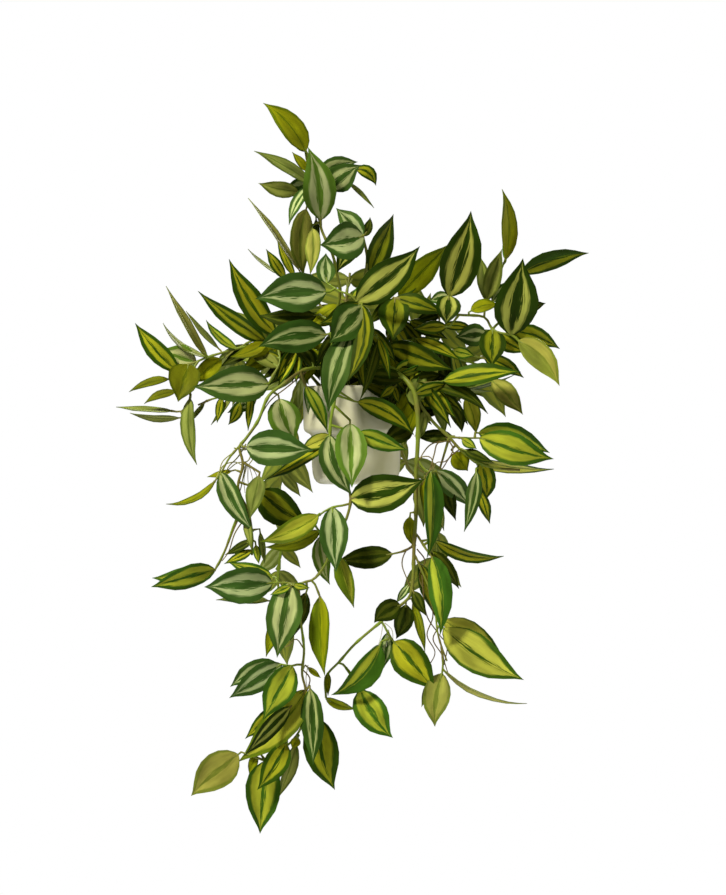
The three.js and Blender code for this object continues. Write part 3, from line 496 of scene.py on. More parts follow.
def leaf_skin(name, underside):
    """Striped blade: stripes run from base to tip, one pale one on each side of the midrib."""
    material, tree, shader = start_material(name)
    link = tree.links.new
    shader.inputs["Specular IOR Level"].default_value = 0.05 if underside else 0.10
    shader.inputs["Specular Tint"].default_value = (0.80, 0.85, 0.25, 1)

    def feed(sockets, terms):
        for socket, term in zip(sockets, terms):
            if isinstance(term, (int, float, tuple)):
                socket.default_value = term
            else:
                link(term, socket)

    def maths(what, *terms):
        node = tree.nodes.new("ShaderNodeMath")
        node.operation = what
        feed(node.inputs, terms)
        return node.outputs[0]

    def times(one, other):
        return maths("MULTIPLY", one, other)

    def plus(one, other):
        return maths("ADD", one, other)

    def minus(one, other):
        return maths("SUBTRACT", one, other)

    def tint(kind, *share_and_colours):
        node = tree.nodes.new("ShaderNodeMix")
        node.data_type = "RGBA"
        node.blend_type = kind
        feed((node.inputs[0], node.inputs[6], node.inputs[7]), share_and_colours)
        return node.outputs[2]

    def layer(label):
        node = tree.nodes.new("ShaderNodeAttribute")
        node.attribute_name = label
        return node

    blade_map = tree.nodes.new("ShaderNodeUVMap")
    split = tree.nodes.new("ShaderNodeSeparateXYZ")
    link(blade_map.outputs["UV"], split.inputs[0])
    along, across = split.outputs[0], split.outputs[1]
    marks = layer("marks")
    edges = tree.nodes.new("ShaderNodeSeparateXYZ")
    link(marks.outputs["Vector"], edges.inputs[0])
    inner, outer, ragged = edges.outputs
    own_place = times(marks.outputs["Alpha"], 60.0)
    aside = maths("ABSOLUTE", minus(times(across, 2.0), 1.0))

    def streaks(lengthwise, crosswise, detail):
        spread = tree.nodes.new("ShaderNodeCombineXYZ")
        feed(spread.inputs, (times(along, lengthwise), times(across, crosswise), own_place))
        grain = tree.nodes.new("ShaderNodeTexNoise")
        grain.inputs["Scale"].default_value = 1.0
        grain.inputs["Detail"].default_value = detail
        link(spread.outputs[0], grain.inputs["Vector"])
        return grain.outputs["Fac"]

    def step_over(value, edge, softness):
        node = tree.nodes.new("ShaderNodeMapRange")
        node.interpolation_type = "SMOOTHSTEP"
        link(minus(value, edge), node.inputs["Value"])
        node.inputs["From Min"].default_value = -softness
        node.inputs["From Max"].default_value = softness
        return node.outputs["Result"]

    frays = minus(streaks(lengthwise=5.0, crosswise=34.0, detail=3.0), 0.5)
    ragged_edge = times(frays, times(ragged, 4.0))
    wander = times(minus(streaks(lengthwise=3.0, crosswise=2.0, detail=1.0), 0.5), 0.22)
    lens = maths("SINE", times(maths("POWER", along, 0.8), math.pi))
    inner_edge = times(inner, plus(times(lens, 0.8), 0.2))
    outer_edge = times(outer, minus(1.0, times(maths("POWER", along, 4.0), 1.1)))
    past_midrib = step_over(plus(aside, ragged_edge), inner_edge, 0.05)
    past_margin = step_over(plus(plus(aside, wander), times(ragged_edge, 0.4)), outer_edge, 0.09)
    pale_tint = layer("pale_tint")
    bare_side = times(minus(0.5, across), pale_tint.outputs["Alpha"])
    bare_half = step_over(plus(bare_side, times(ragged_edge, 0.1)), 0.06, 0.03)
    veins = streaks(lengthwise=2.5, crosswise=90.0, detail=2.0)
    striped = times(times(past_midrib, minus(1.0, past_margin)), minus(1.0, bare_half))
    pale_share = times(striped, plus(times(veins, 0.5), 0.72))
    colour = tint("MIX", pale_share, layer("dark_tint").outputs["Color"],
                  pale_tint.outputs["Color"])
    # Painted light and shade: broad soft patches make the colour darker or lighter, from about half as
    # bright to a fifth brighter.
    painted_shading = tree.nodes.new("ShaderNodeMapRange")
    painted_shading.inputs["From Min"].default_value = 0.28
    painted_shading.inputs["From Max"].default_value = 0.72
    painted_shading.inputs["To Min"].default_value = 0.52
    painted_shading.inputs["To Max"].default_value = 1.22
    link(streaks(lengthwise=1.8, crosswise=2.6, detail=2.0), painted_shading.inputs["Value"])
    shade = tree.nodes.new("ShaderNodeCombineXYZ")
    feed(shade.inputs, [painted_shading.outputs["Result"]] * 3)
    colour = tint("MULTIPLY", 1.0, colour, shade.outputs[0])
    if underside:
        colour = tint("MIX", 0.62, colour, (0.250, 0.290, 0.060, 1))
    link(colour, shader.inputs["Base Color"])

    rough = tree.nodes.new("ShaderNodeMapRange")
    rough.inputs["To Min"].default_value = 0.62 if underside else 0.34
    rough.inputs["To Max"].default_value = 0.80 if underside else 0.52
    link(veins, rough.inputs["Value"])
    link(rough.outputs["Result"], shader.inputs["Roughness"])
    groove = step_over(aside, 0.0, 0.07)
    bump = tree.nodes.new("ShaderNodeBump")
    bump.inputs["Strength"].default_value = 0.45
    bump.inputs["Distance"].default_value = 0.0008
    link(plus(groove, times(veins, 0.45)), bump.inputs["Height"])
    link(bump.outputs["Normal"], shader.inputs["Normal"])
    return material


stem_green = stem_skin("stem_green", (0.215, 0.310, 0.018), (0.190, 0.165, 0.028))
leaf_top = leaf_skin("leaf_top", False)
leaf_under = leaf_skin("leaf_under", True)


def in_crown(x, z):
    """Whether a place in the front view is in the thick of the leaves above the collar."""
    return any(((x - middle_x) / half_x) ** 2 + ((z - middle_z) / half_z) ** 2 < 1
               for middle_x, middle_z, half_x, half_z in CROWN)


def inner_leaves(lines, chance):
    """Rows of the smaller leaves that fill the crown behind the front ones, most of them darker by painted
    shade.
    """
    rows = []
    for line in lines:
        for spot in line[2::INNER_EVERY]:
            for attempt in range(INNER_TRIES):
                turn = chance.uniform(0, math.tau)
                length = chance.uniform(*INNER_LENGTHS)
                tip_x = spot.x + length * math.cos(turn)
                tip_z = spot.z + length * math.sin(turn) * 0.8 - 10
                behind = spot.y > -48 or spot.x > 30
                if behind and spot.z > 20 and in_crown(spot.x, spot.z) and in_crown(tip_x, tip_z):
                    rows.append((spot.x, spot.z, tip_x, tip_z, length * chance.uniform(0.22, 0.38),
                                 chance.choice((-1, 1)), chance.uniform(-5, 5),
                                 chance.uniform(10, 36), chance.choice(INNER_COLOURINGS)))
                    break
    return rows


def hidden_leaves(leaves, chance):
    """Rows of a second leaf behind each longer one, reaching back from the same place."""
    rows = []
    for base_x, base_z, tip_x, tip_z, width, side, bow, tip_depth, colouring in leaves:
        length = math.hypot(tip_x - base_x, tip_z - base_z)
        if length > HIDDEN_FROM[0] and width > HIDDEN_FROM[1]:
            share = chance.uniform(0.4, 0.6)
            rows.append((base_x, base_z, base_x + share * (tip_x - base_x),
                         base_z + share * (tip_z - base_z) - 3, 0.5 * width, -side, 0.4 * bow,
                         chance.uniform(0.45, 0.7) * length, chance.choice(HIDDEN_COLOURINGS)))
    return rows


def swelling_stem(line, start, end):
    """A stem's line of (place, radius), thinner towards its tip and swollen at its joints."""
    return [(spot, (start + (end - start) * i / len(line))
             * (SWOLLEN if i % JOINT_EVERY == 3 else 1.0)) for i, spot in enumerate(line)]


def grow_spray(name, stems, leaves, facing=FRONT, thick=1.75):
    """A leafy stem with its side stems, in place of its node."""
    chance = random.Random(name)
    lines = [smooth_line([seen_place(*spot) for spot in route], STEM_STEP) for route in stems]
    for line in lines[1:]:
        others = [point for other in lines if other is not line for point in other]
        line[0] = min(others, key=lambda point: (point - line[0]).length)
    lines[0].insert(0, Vector((lines[0][0].x, lines[0][0].y, STEM_ROOT_Z)))
    round_stems = [swelling_stem(lines[0], thick, STEM_TIP)]
    for line in lines[1:]:
        round_stems.append(swelling_stem(line, *SIDE_STEM))
    blades = []
    if facing == FRONT:
        leaves = leaves + inner_leaves(lines, chance) + hidden_leaves(leaves, chance)
    for leaf in leaves:
        blade, stalk = grow_leaf(leaf, lines, chance, facing)
        blades.append(blade)
        round_stems.append(stalk)
    stem_piece = grow_stems(name + "_stems", round_stems)
    stem_piece.data.materials.append(stem_green)
    leaf_piece = join_pieces(name + "_leaves", blades)
    leaf_piece.data.materials.append(leaf_top)
    leaf_piece.data.materials.append(leaf_under)
    solid = leaf_piece.modifiers.new("thickness", "SOLIDIFY")
    solid.thickness = BLADE_THICKNESS * MM
    solid.offset = 0
    solid.material_offset = 1
    bpy.ops.object.modifier_apply(modifier=solid.name)
    bpy.ops.object.shade_smooth_by_angle(angle=SMOOTH_UP_TO)
    for piece in (stem_piece, leaf_piece):
        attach(piece, "root")
        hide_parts(name)


# A stem is a list of (x, z, depth). A leaf is (base x, base z, tip x, tip z, seen width, side
# turned to the front, sideways bow of the midrib, depth of the tip behind the base, colouring).
grow_spray(
    "spray_upright",
    stems=[
        [(-8, 40, 2), (-14, 68, -6), (-22, 104, -18), (-16, 138, -30), (-19, 160, -32),
         (-24, 180, -32), (-34, 202, -30), (-37, 216, -30), (-42, 240, -28), (-47, 262, -26),
         (-51, 284, -24)],
        [(-42, 240, -28), (-26, 244, -30), (-8, 250, -32), (0, 264, -34)],
        [(-22, 110, -19), (-44, 138, -16), (-62, 152, -14), (-76, 156, -12)],
    ],
    leaves=[
        (-50, 282, -93, 330, 25, 1, -5, -17, "o"),
        (-50, 252, -102, 282, 14, 1, -2, -14, "g"),
        (-58, 241, -98, 250, 17, -1, 2, -14, "g"),
        (-47, 262, -64, 281, 9, 1, 0, 11, "o"),
        (-35, 213, -48, 286, 34, 1, -4, -27, "v"),
        (-26, 243, 5, 268, 28, 1, 2, -17, "w"),
        (-38, 258, 2, 271, 20, 1, 3, 19, "w"),
        (-1, 266, 20, 247, 14, -1, 5, 10, "y"),
        (-5, 246, 18, 225, 4, 1, 1, -7, "g"),
        (-45, 249, -72, 244, 22, 1, 0, 12, "w"),
        (-47, 246, -67, 208, 13, 1, -3, -19, "w"),
        (-50, 224, -52, 156, 24, -1, -4, 17, "p"),
        (-44, 204, -46, 158, 16, 1, 2, -17, "p"),
        (-40, 214, -42, 166, 8, 1, 1, 22, "d"),
        (-57, 163, -108, 235, 7, 1, -2, -10, "p"),
        (-62, 158, -79, 194, 9, -1, 1, 7, "y"),
        (-75, 153, -90, 184, 12, 1, 0, -3, "y"),
        (-74, 158, -108, 184, 4, 1, 2, 14, "g"),
    ],
)

# ---------------------------------------------------------------- centre spray
# The shoot that leans forward over the middle of the collar. Its leaves are broad and
# silvery, and they turn their faces to the front.
grow_spray(
    "spray_centre",
    stems=[
        [(2, 40, -16), (4, 62, -40), (2, 90, -60), (3, 112, -66), (4, 128, -68), (8, 150, -60),
         (11, 176, -56), (7, 197, -56)],
        [(4, 128, -68), (-6, 138, -66), (-17, 142, -64), (-29, 150, -60)],
        [(3, 110, -66), (-14, 104, -70), (-30, 98, -72)],
        [(3, 112, -66), (12, 104, -72), (23, 93, -74)],
    ],
    leaves=[
        (5, 198, -36, 188, 40, 1, 2, -19, "w"),
        (4, 199, -20, 225, 22, -1, 0, 14, "w"),
        (6, 200, 14, 216, 10, 1, -2, 10, "d"),
        (9, 196, -19, 160, 22, -1, -3, 17, "c"),
        (-28, 152, -30, 180, 20, 1, 1, 13, "w"),
        (-30, 141, -101, 134, 41, 1, -2, -17, "w"),
        (14, 160, 37.5, 219, 24, 1, -1, 29, "m"),
        (3, 136, 64, 187, 36, 1, -4, -36, "c"),
        (5, 127, -27, 90, 37, -1, 2, -14, "h"),
        (5, 127, -36, 110, 22, 1, 3, -6, "m"),
        (6, 127, -10, 50, 20, 1, 8, -29, "m"),
        (22, 95, 34, 54, 9, 1, 1, -6, "y"),
        (24, 90, 4, 33, 10, -1, 2, -17, "d"),
        (-7, 97, -28, 20, 31, 1, -3, -24, "h"),
        (-25, 86, -30, 32, 13, -1, -2, 14, "d"),
        (-31, 99, -98, 86, 34, 1, -4, -7, "h"),
        (-40, 118, -98, 118, 20, 1, 3, 6, "d"),
        (2, 116, -34, 84, 20, 1, 3, 14, "d"),
        (3, 100, 20, 50, 16, 1, 2, 10, "d"),
        (3, 96, 10, 40, 12, -1, -2, 6, "m"),
        (12, 104, 40, 70, 14, 1, 2, 8, "m"),
        (-14, 104, -40, 66, 14, 1, -2, 12, "d"),
    ],
)

# ---------------------------------------------------------------- high right spray
# A long shoot that arches out to the right, with three short upright side stems. Two of
# its cream-striped leaves stand up like candle flames.
grow_spray(
    "spray_right_high",
    stems=[
        [(15, 40, -6), (26, 72, -26), (34, 105, -40), (38, 134, -48), (62, 128, -50),
         (87, 120, -50), (105, 118, -50), (128, 116, -48), (136, 104, -50), (145, 100, -54),
         (156, 98, -56), (163, 92, -58)],
        [(91, 119, -50), (92, 128, -51), (93, 137, -52)],
        [(128, 116, -48), (131, 134, -50), (146, 165, -52), (151, 180, -52)],
        [(136, 104, -50), (150, 118, -44), (160, 140, -40), (166, 160, -40)],
    ],
    leaves=[
        (43, 136, 93, 189, 26, 1, 0, 27, "o"),
        (93, 137, 115, 222.5, 40, 1, -3, -27, "c"),
        (94, 138, 90, 108, 26, -1, 0, -14, "c"),
        (92, 140, 73, 132, 14, 1, 0, 7, "w"),
        (130, 134, 124, 177, 15, 1, -1, 17, "g"),
        (131, 134, 146, 184, 18, -1, 1, -7, "g"),
        (150, 174, 146, 244, 17, 1, -5, -7, "o"),
        (164, 163, 233, 180, 19, 1, 3, 10, "y-"),
        (154, 101, 167, 175, 43, 1, 0, -31, "c"),
        (160, 122, 190, 130, 14, 1, 0, 14, "d"),
        (156, 102, 204, 84, 20, 1, 3, 20, "y"),
        (139, 99, 172, 81, 18, -1, -2, 7, "y"),
        (162, 91, 203.5, 47, 26, 1, 5, -27, "p+"),
        (131, 99, 99, 96, 24, 1, 0, 10, "w"),
        (134, 98, 136, 66, 28, 1, 0, -14, "m"),
        (115, 122, 144, 127, 14, 1, 3, -13, "o"),
        (136, 131, 162, 152, 14, 1, 2, -3, "w"),
        (90, 106, 57, 104, 14, -1, 0, -10, "m"),
        (88, 108, 118, 104, 10, 1, 1, 10, "y"),
        (37, 134, 37, 92, 32, 1, 0, -19, "m"),
        (39, 134, 90, 119, 20, -1, 1, -10, "m"),
        (36, 134, 12, 108, 12, 1, 0, 16, "d"),
        (86, 120, 58, 112, 12, 1, 0, 13, "d"),
        (54, 112, 92, 94, 15, 1, 0, 6, "m"),
    ],
)

# ---------------------------------------------------------------- low right spray
# The shoot that leans over the collar's right edge and fans out. Its outer leaves point
# right and hang a little, and many of them are yellow-striped.
grow_spray(
    "spray_right_low",
    stems=[
        [(20, 40, -16), (25, 63, -36), (36, 62, -52), (50, 52, -60), (57, 42, -62), (62, 32, -62),
         (70, 20, -62), (80, 8, -62), (93, -4, -62), (105, -17, -62), (122, -29, -62),
         (140, -35, -62), (164, -37, -60)],
        [(24, 62, -36), (34, 88, -40), (60, 92, -38), (92, 84, -38), (112, 78, -40),
         (130, 74, -42)],
        [(50, 52, -60), (66, 50, -60), (88, 51, -60), (112, 46, -52), (136, 52, -50)],
        [(66, 50, -60), (84, 42, -54), (94, 28, -54)],
        [(84, 42, -54), (98, 40, -52), (110, 36, -50)],
        [(93, -4, -62), (108, -5, -64), (124, -5, -66)],
        [(122, -29, -62), (124, -45, -58), (123, -58, -56)],
    ],
    leaves=[
        (88, 52, 165, 61, 22, -1, 3, -24, "y"),
        (128, 76, 168, 55, 16, 1, 2, 14, "y"),
        (66, 50, 158, 58, 6, 1, -9, 41, "w"),
        (80, 47, 137, 42, 5, 1, -2, 26, "g"),
        (136, 53, 167, 18, 21, 1, 2, -14, "p"),
        (78, 47, 132, 19, 14, -1, 7, -20, "d"),
        (110, 35, 120, -2, 17, 1, 2, 7, "q"),
        (93, 28, 106, 0, 13, 1, 3, 14, "d"),
        (97, 82, 119, 77, 12, 1, 0, -7, "b"),
        (60, 94, 105, 72, 14, -1, 2, -17, "y"),
        (56, 92, 98, 65, 12, 1, -2, 17, "y"),
        (34, 90, 97, 63, 27, 1, 0, -29, "m"),
        (123, 0, 194, -20, 28, 1, 4, 17, "b"),
        (124, -7, 198, -26, 33, -1, -2, -20, "b"),
        (112, -24, 198, -36, 11, 1, -5, 39, "l"),
        (106, -6, 121, -16, 10, 1, 0, -8, "b"),
        (108, -17, 138, -30, 10, -1, 0, -14, "d"),
        (126, -30, 130, -67, 22, 1, 3, 17, "y"),
        (123, -56, 134, -91, 12, 1, 0, 17, "y"),
        (120, -39, 108, -99, 15, 1, 2, -17, "h"),
        (98, -20, 112, -38, 20, 1, 0, 10, "o"),
        (38, 46, 23, 34, 10, 1, 0, -9, "y"),
        (38, 46, 43, 29, 9, 1, 0, -7, "y"),
        (57, 6, 26, -8, 22, 1, 0, 10, "d"),
        (96, -3, 58, -3, 14, 1, 0, 17, "d"),
        (62, 47, 95, 5, 14, 1, 3, -10, "m"),
        (78, 45, 100, 15, 12, -1, -2, -12, "y"),
        (50, 45, 76, 8, 15, 1, -2, 8, "m"),
        (60, 30, 48, -12, 14, 1, 0, 12, "o"),
        (70, 22, 62, -8, 12, 1, 0, 10, "g"),
        (52, 40, 34, 4, 20, 1, 2, 16, "o"),
        (46, 50, 30, 22, 14, -1, 0, 14, "d"),
        (84, 40, 112, 8, 12, 1, 2, 10, "m"),
        (40, 58, 66, 72, 12, 1, 2, 8, "b"),
        (44, 56, 88, 74, 10, 1, -2, 14, "b"),
        (84, -44, 100, -88, 16, 1, 0, 12, "d"),
    ],
    thick=2.2,
)

# ---------------------------------------------------------------- right trailing spray
# The long shoot that hangs from the right of the pot and swings back under it, with two
# big leaves on a side stem that are yellow nearly all over.
grow_spray(
    "spray_right_trailing",
    stems=[
        [(12, 40, -24), (17, 62, -44), (28, 66, -58), (42, 60, -68), (56, 46, -76), (61, 28, -78),
         (62, 0, -78), (61, -25, -76), (60, -42, -75), (60, -80, -74), (58, -115, -74),
         (57, -145, -74), (54, -163, -74), (40, -176, -72), (26, -188, -70), (0, -210, -62),
         (-16, -228, -58), (-30, -244, -54), (-30, -265, -54)],
        [(61, -25, -76), (70, -38, -78), (80, -38, -78)],
        [(58, -120, -74), (66, -138, -74), (72, -152, -76), (79, -172, -78), (81, -196, -78),
         (85, -212, -78), (91, -228, -78)],
        [(60, -100, -74), (70, -116, -78), (76, -124, -80)],
        [(26, -188, -70), (32, -200, -68), (38, -209, -68)],
        [(85, -212, -78), (87, -228, -76), (86, -241, -76)],
        [(-16, -228, -58), (-6, -240, -52), (2, -256, -52)],
        [(59, -112, -74), (48, -118, -66), (36, -121, -60)],
    ],
    leaves=[
        (80, -38, 114, -74, 24, 1, 2, 34, "w"),
        (74, -41, 71, -125, 20, -1, 5, -24, "b-"),
        (69, -45, 68, -80, 9, 1, 0, 14, "o"),
        (78, -60, 88, -98, 10, 1, 0, 17, "g"),
        (54, -84, 58, -114, 13, 1, -2, 10, "o"),
        (36, -121, -20, -128, 23, 1, 0, 10, "d"),
        (76, -124, 84, -202, 24, 1, 5, -20, "b-"),
        (76, -119, 103, -156, 16, -1, 2, 14, "d"),
        (64, -131, 80, -186, 16, 1, 1, 24, "y"),
        (57, -158, 70, -183, 12, 1, 0, -10, "d"),
        (57, -170, 69, -219, 9, 1, 1, 17, "o"),
        (80, -108, 148, -123, 14, 1, -8, 10, "y"),
        (88, -188, 150, -228, 30, 1, 1, 14, "l"),
        (88, -196, 168, -247, 37, -1, -3, -17, "l"),
        (92, -234, 171, -270.5, 6, 1, -9, 7, "p"),
        (38, -209, 79, -258, 36, 1, 1, -14, "y"),
        (86, -242, 79, -294, 28, 1, -3, -14, "p"),
        (74, -250, 65.5, -274, 8, 1, 0, 11, "g"),
        (44, -172, 18, -190, 22, 1, -3, -7, "d"),
        (50, -172, 40, -206, 20, 1, 2, 16, "d"),
        (32, -200, 28, -235, 14, 1, 0, 16, "w"),
        (53, -152, 40, -170, 8, 1, 0, 10, "w"),
        (24, -212, -25, -262, 27, -1, 9, 0, "b-"),
        (4, -257, 37, -305, 33, 1, -3, -17, "b"),
        (-28, -266, 0, -276, 10, 1, -2, 7, "o"),
        (-33, -243, -28, -263, 6, 1, 0, -7, "o"),
    ],
    thick=2.8,
)

# ---------------------------------------------------------------- left spray
# The shoot that reaches out to the left over the collar, with two lower side stems and
# many narrow leaves that are seen nearly edge-on.
grow_spray(
    "spray_left",
    stems=[
        [(-20, 40, 4), (-30, 68, -12), (-50, 86, -26), (-80, 92, -34), (-112, 86, -38),
         (-145, 77, -40), (-160, 71, -40), (-172, 67, -40)],
        [(-160, 71, -40), (-166, 50, -46), (-166, 34, -48), (-174, 22, -48), (-184, 22, -46)],
        [(-80, 92, -34), (-76, 72, -44), (-84, 56, -50), (-90, 47, -52), (-112, 38, -48),
         (-140, 35, -46), (-158, 28, -46)],
    ],
    leaves=[
        (-80, 99, -127, 174, 26, 1, 4, -17, "y"),
        (-92, 93, -158, 142, 18, -1, 3, -7, "y"),
        (-122, 85, -150, 113, 10, 1, 3, 10, "b"),
        (-150, 80, -190, 147, 8, 1, 0, -10, "p"),
        (-138, 85, -170, 122, 6, -1, 1, 17, "g"),
        (-150, 79, -193, 110, 6, 1, 6, 24, "g"),
        (-160, 72, -196, 84, 27, -1, 2, 17, "v"),
        (-178, 62, -221, 110, 20, 1, 2, 7, "y"),
        (-170, 72, -178, 31, 33, 1, 0, -19, "e"),
        (-188, 54, -227, 41, 9, 1, -3, 10, "e"),
        (-180, 41, -212, 29, 9, 1, -3, -3, "e"),
        (-184, 22, -240, 26, 6, 1, 0, 14, "g"),
        (-177, 15, -226, 20, 7, -1, 3, -10, "g"),
        (-166, 34, -159, -32, 16, 1, -5, -14, "g"),
        (-152, 30, -167, 10, 5, 1, 0, 10, "g"),
        (-90, 47, -163, 46, 38, 1, 0, -24, "w"),
        (-100, 34, -129, 20, 14, -1, 0, 7, "w"),
        (-136, 34, -139, 10, 9, 1, 0, 7, "y"),
        (-128, 34, -145, 8, 6, 1, 0, 14, "g"),
        (-116, 30, -128, 8, 12, -1, 2, -3, "y"),
        (-105, 38, -108, 2, 9, 1, 0, -10, "y"),
        (-135, 74, -165, 50, 20, 1, 0, 14, "o"),
        (-63, 85, -94, 64, 13, 1, 0, 17, "y"),
        (-61, 84, -80, 52, 13, -1, 0, -17, "y"),
        (-56, 83, -64, 50, 11, 1, 0, -7, "y"),
        (-53, 82, -47, 60, 13, 1, 0, 10, "y"),
        (-80, 90, -104, 58, 20, 1, 0, 18, "o"),
        (-40, 78, -52, 48, 13, 1, 0, -10, "o"),
        (-58, 84, -97, 52, 12, 1, 2, -8, "d"),
        (-59, 84, -88, 47, 13, -1, 3, -12, "m"),
        (-60, 83, -78, 46, 12, 1, 0, -16, "y"),
        (-59, 82, -70, 48, 11, -1, -2, -12, "d"),
        (-58, 82, -60, 49, 10, 1, 0, -18, "y"),
        (-56, 83, -46, 62, 13, 1, -3, -10, "m"),
        (-66, 86, -110, 66, 16, 1, 0, 2, "d"),
        (-84, 88, -118, 62, 18, -1, 3, 4, "o"),
        (-70, 88, -98, 72, 16, 1, -2, -4, "d"),
        (-90, 90, -126, 76, 14, 1, 2, -6, "o"),
        (-100, 88, -136, 66, 14, 1, 0, 4, "d"),
        (-50, 84, -28, 56, 16, 1, 2, 6, "o"),
        (-46, 80, -36, 52, 14, -1, 0, 2, "d"),
    ],
)

# ---------------------------------------------------------------- left trailing spray
# A shoot that bends over the collar's left edge and hangs beside the pot, with silvery
# leaves turned to the front.
grow_spray(
    "spray_left_trailing",
    stems=[
        [(-16, 40, -14), (-30, 63, -36), (-52, 63, -50), (-74, 48, -58), (-88, 36, -62),
         (-98, 12, -64), (-112, -8, -64), (-117, -14, -64), (-113, -32, -64), (-118, -55, -64),
         (-108, -78, -66), (-104, -100, -66), (-104, -122, -62)],
        [(-112, -8, -64), (-126, -24, -64), (-134, -38, -64), (-141, -48, -64)],
        [(-112, -70, -65), (-122, -92, -60), (-130, -115, -58), (-141, -137, -58)],
    ],
    leaves=[
        (-109, -14, -42, -17, 38, 1, 0, -27, "w"),
        (-77, 34, -60, -10, 34, 1, -2, 7, "v"),
        (-50, 47, -28, 0, 14, -1, 2, -17, "b"),
        (-131, -42, -102, -99, 23, 1, -3, -14, "w"),
        (-125, -38, -149, -44, 6, 1, 0, 7, "o"),
        (-141, -48, -190, -71, 7, 1, 7, 10, "o"),
        (-97, -43, -106, -86, 19, 1, 0, -20, "g"),
        (-97, -58, -47, -91, 35, -1, -3, 14, "m"),
        (-144, -136, -204, -145, 20, 1, 2, 24, "b"),
        (-142, -142, -205, -154, 24, -1, 0, -17, "b"),
        (-105, -110, -131, -122, 9, 1, 0, 7, "d"),
        (-104, -118, -132, -131, 9, 1, 0, -7, "y"),
        (-100, -112, -97, -131, 8, 1, 0, -7, "b"),
        (-96, -100, -91, -131, 7, 1, 0, 7, "g"),
        (-110, -82, -104, -118, 9, 1, 0, -14, "g"),
    ],
)

# ---------------------------------------------------------------- centre trailing spray
# The longest shoot hangs down in front of the pot and ends in a thick bunch of leaves, its
# lowest tip nearly 40 cm under the collar.
grow_spray(
    "spray_centre_trailing",
    stems=[
        [(-6, 40, -24), (-10, 60, -46), (-16, 62, -64), (-20, 40, -72), (-26, 2, -76),
         (-20, -30, -77), (-6, -60, -78), (-9, -84, -79), (-20, -104, -80), (-30, -130, -80),
         (-42, -146, -80), (-56, -152, -80), (-57, -175, -80), (-52, -215, -80), (-54, -240, -80),
         (-50, -258, -80), (-50, -280, -80), (-62, -306, -80), (-90, -328, -80)],
        [(-56, -152, -80), (-70, -150, -80), (-84, -150, -80)],
        [(-9, -72, -79), (-22, -74, -80), (-34, -80, -80), (-47, -92, -80)],
        [(-54, -230, -80), (-66, -233, -80), (-80, -230, -80)],
        [(-43, -147, -80), (-39, -156, -79), (-36, -164, -78)],
    ],
    leaves=[
        (-26, -2, -56, -17, 15, 1, 0, 10, "l"),
        (-30, -8, -91, -47, 13, 1, 1, 33, "y"),
        (-26, -3, -4, -62, 30, 1, -5, -3, "w"),
        (-6, 9, -4, -55, 33, -1, 0, -29, "v"),
        (2, 0, 52, -17, 19, 1, -1, -10, "b"),
        (2, 31, 58, -2, 21, 1, 6, 3, "y"),
        (-38, -82, -96, -109, 22, 1, 3, -10, "q"),
        (-36, -98, -92, -114, 16, -1, 5, 5, "o"),
        (-21, -75, -20, -140, 29, 1, 0, -10, "w"),
        (-36, -104, -26, -152, 18, -1, -3, 22, "v"),
        (-18, -124, -2, -175, 18, 1, 0, 7, "q+"),
        (-2, -64, 69, -46, 39, 1, -3, -20, "c"),
        (-84, -150, -152, -154, 38, 1, 0, -17, "w"),
        (-84, -144, -128, -129, 15, 1, 0, 10, "b"),
        (-88, -168, -140, -167, 8, 1, -2, 23, "g"),
        (-66, -155, -79, -225, 36, 1, 0, -20, "w"),
        (-50, -160, -66, -208, 18, -1, 0, 23, "d"),
        (-80, -186, -90, -224, 12, 1, 0, 7, "o"),
        (-66, -153, -86, -162, 8, 1, 0, -10, "b"),
        (-62, -152, -46, -155, 8, 1, 0, -7, "b"),
        (-36, -164, -31, -243, 21, 1, -3, -7, "o+"),
        (-48, -235, -35, -245, 6, 1, 0, 3, "o"),
        (-81, -224, -126, -254, 22, 1, -3, 10, "w"),
        (-78, -233, -127, -265, 26, -1, 0, -7, "w"),
        (-66, -234, -93, -287, 31, 1, 0, -24, "b"),
        (-53, -256, -118, -329, 34, 1, 4, 7, "q"),
        (-66, -274, -111, -322, 18, -1, 0, -30, "c"),
        (-80, -274, -111, -306, 14, 1, 0, 7, "y"),
        (-46, -256, -43, -332, 24, 1, 1, -17, "h"),
        (-38, -286, -21, -357, 36, -1, -4, 7, "y"),
        (-118, -322, -165, -363, 36, 1, -2, 10, "p"),
        (-70, -310, -99, -357, 25, 1, 2, -24, "y"),
        (-90, -328, -96, -401, 36, 1, 0, -7, "b"),
        (-60, -312, -78, -365, 14, -1, 2, 14, "g"),
        (-100, -322, -107, -341, 10, 1, 0, 7, "o"),
        (-80, -315, -90, -335, 8, 1, 0, -10, "b"),
        (-58, -304, -64, -316, 10, 1, 0, -6, "o"),
    ],
)

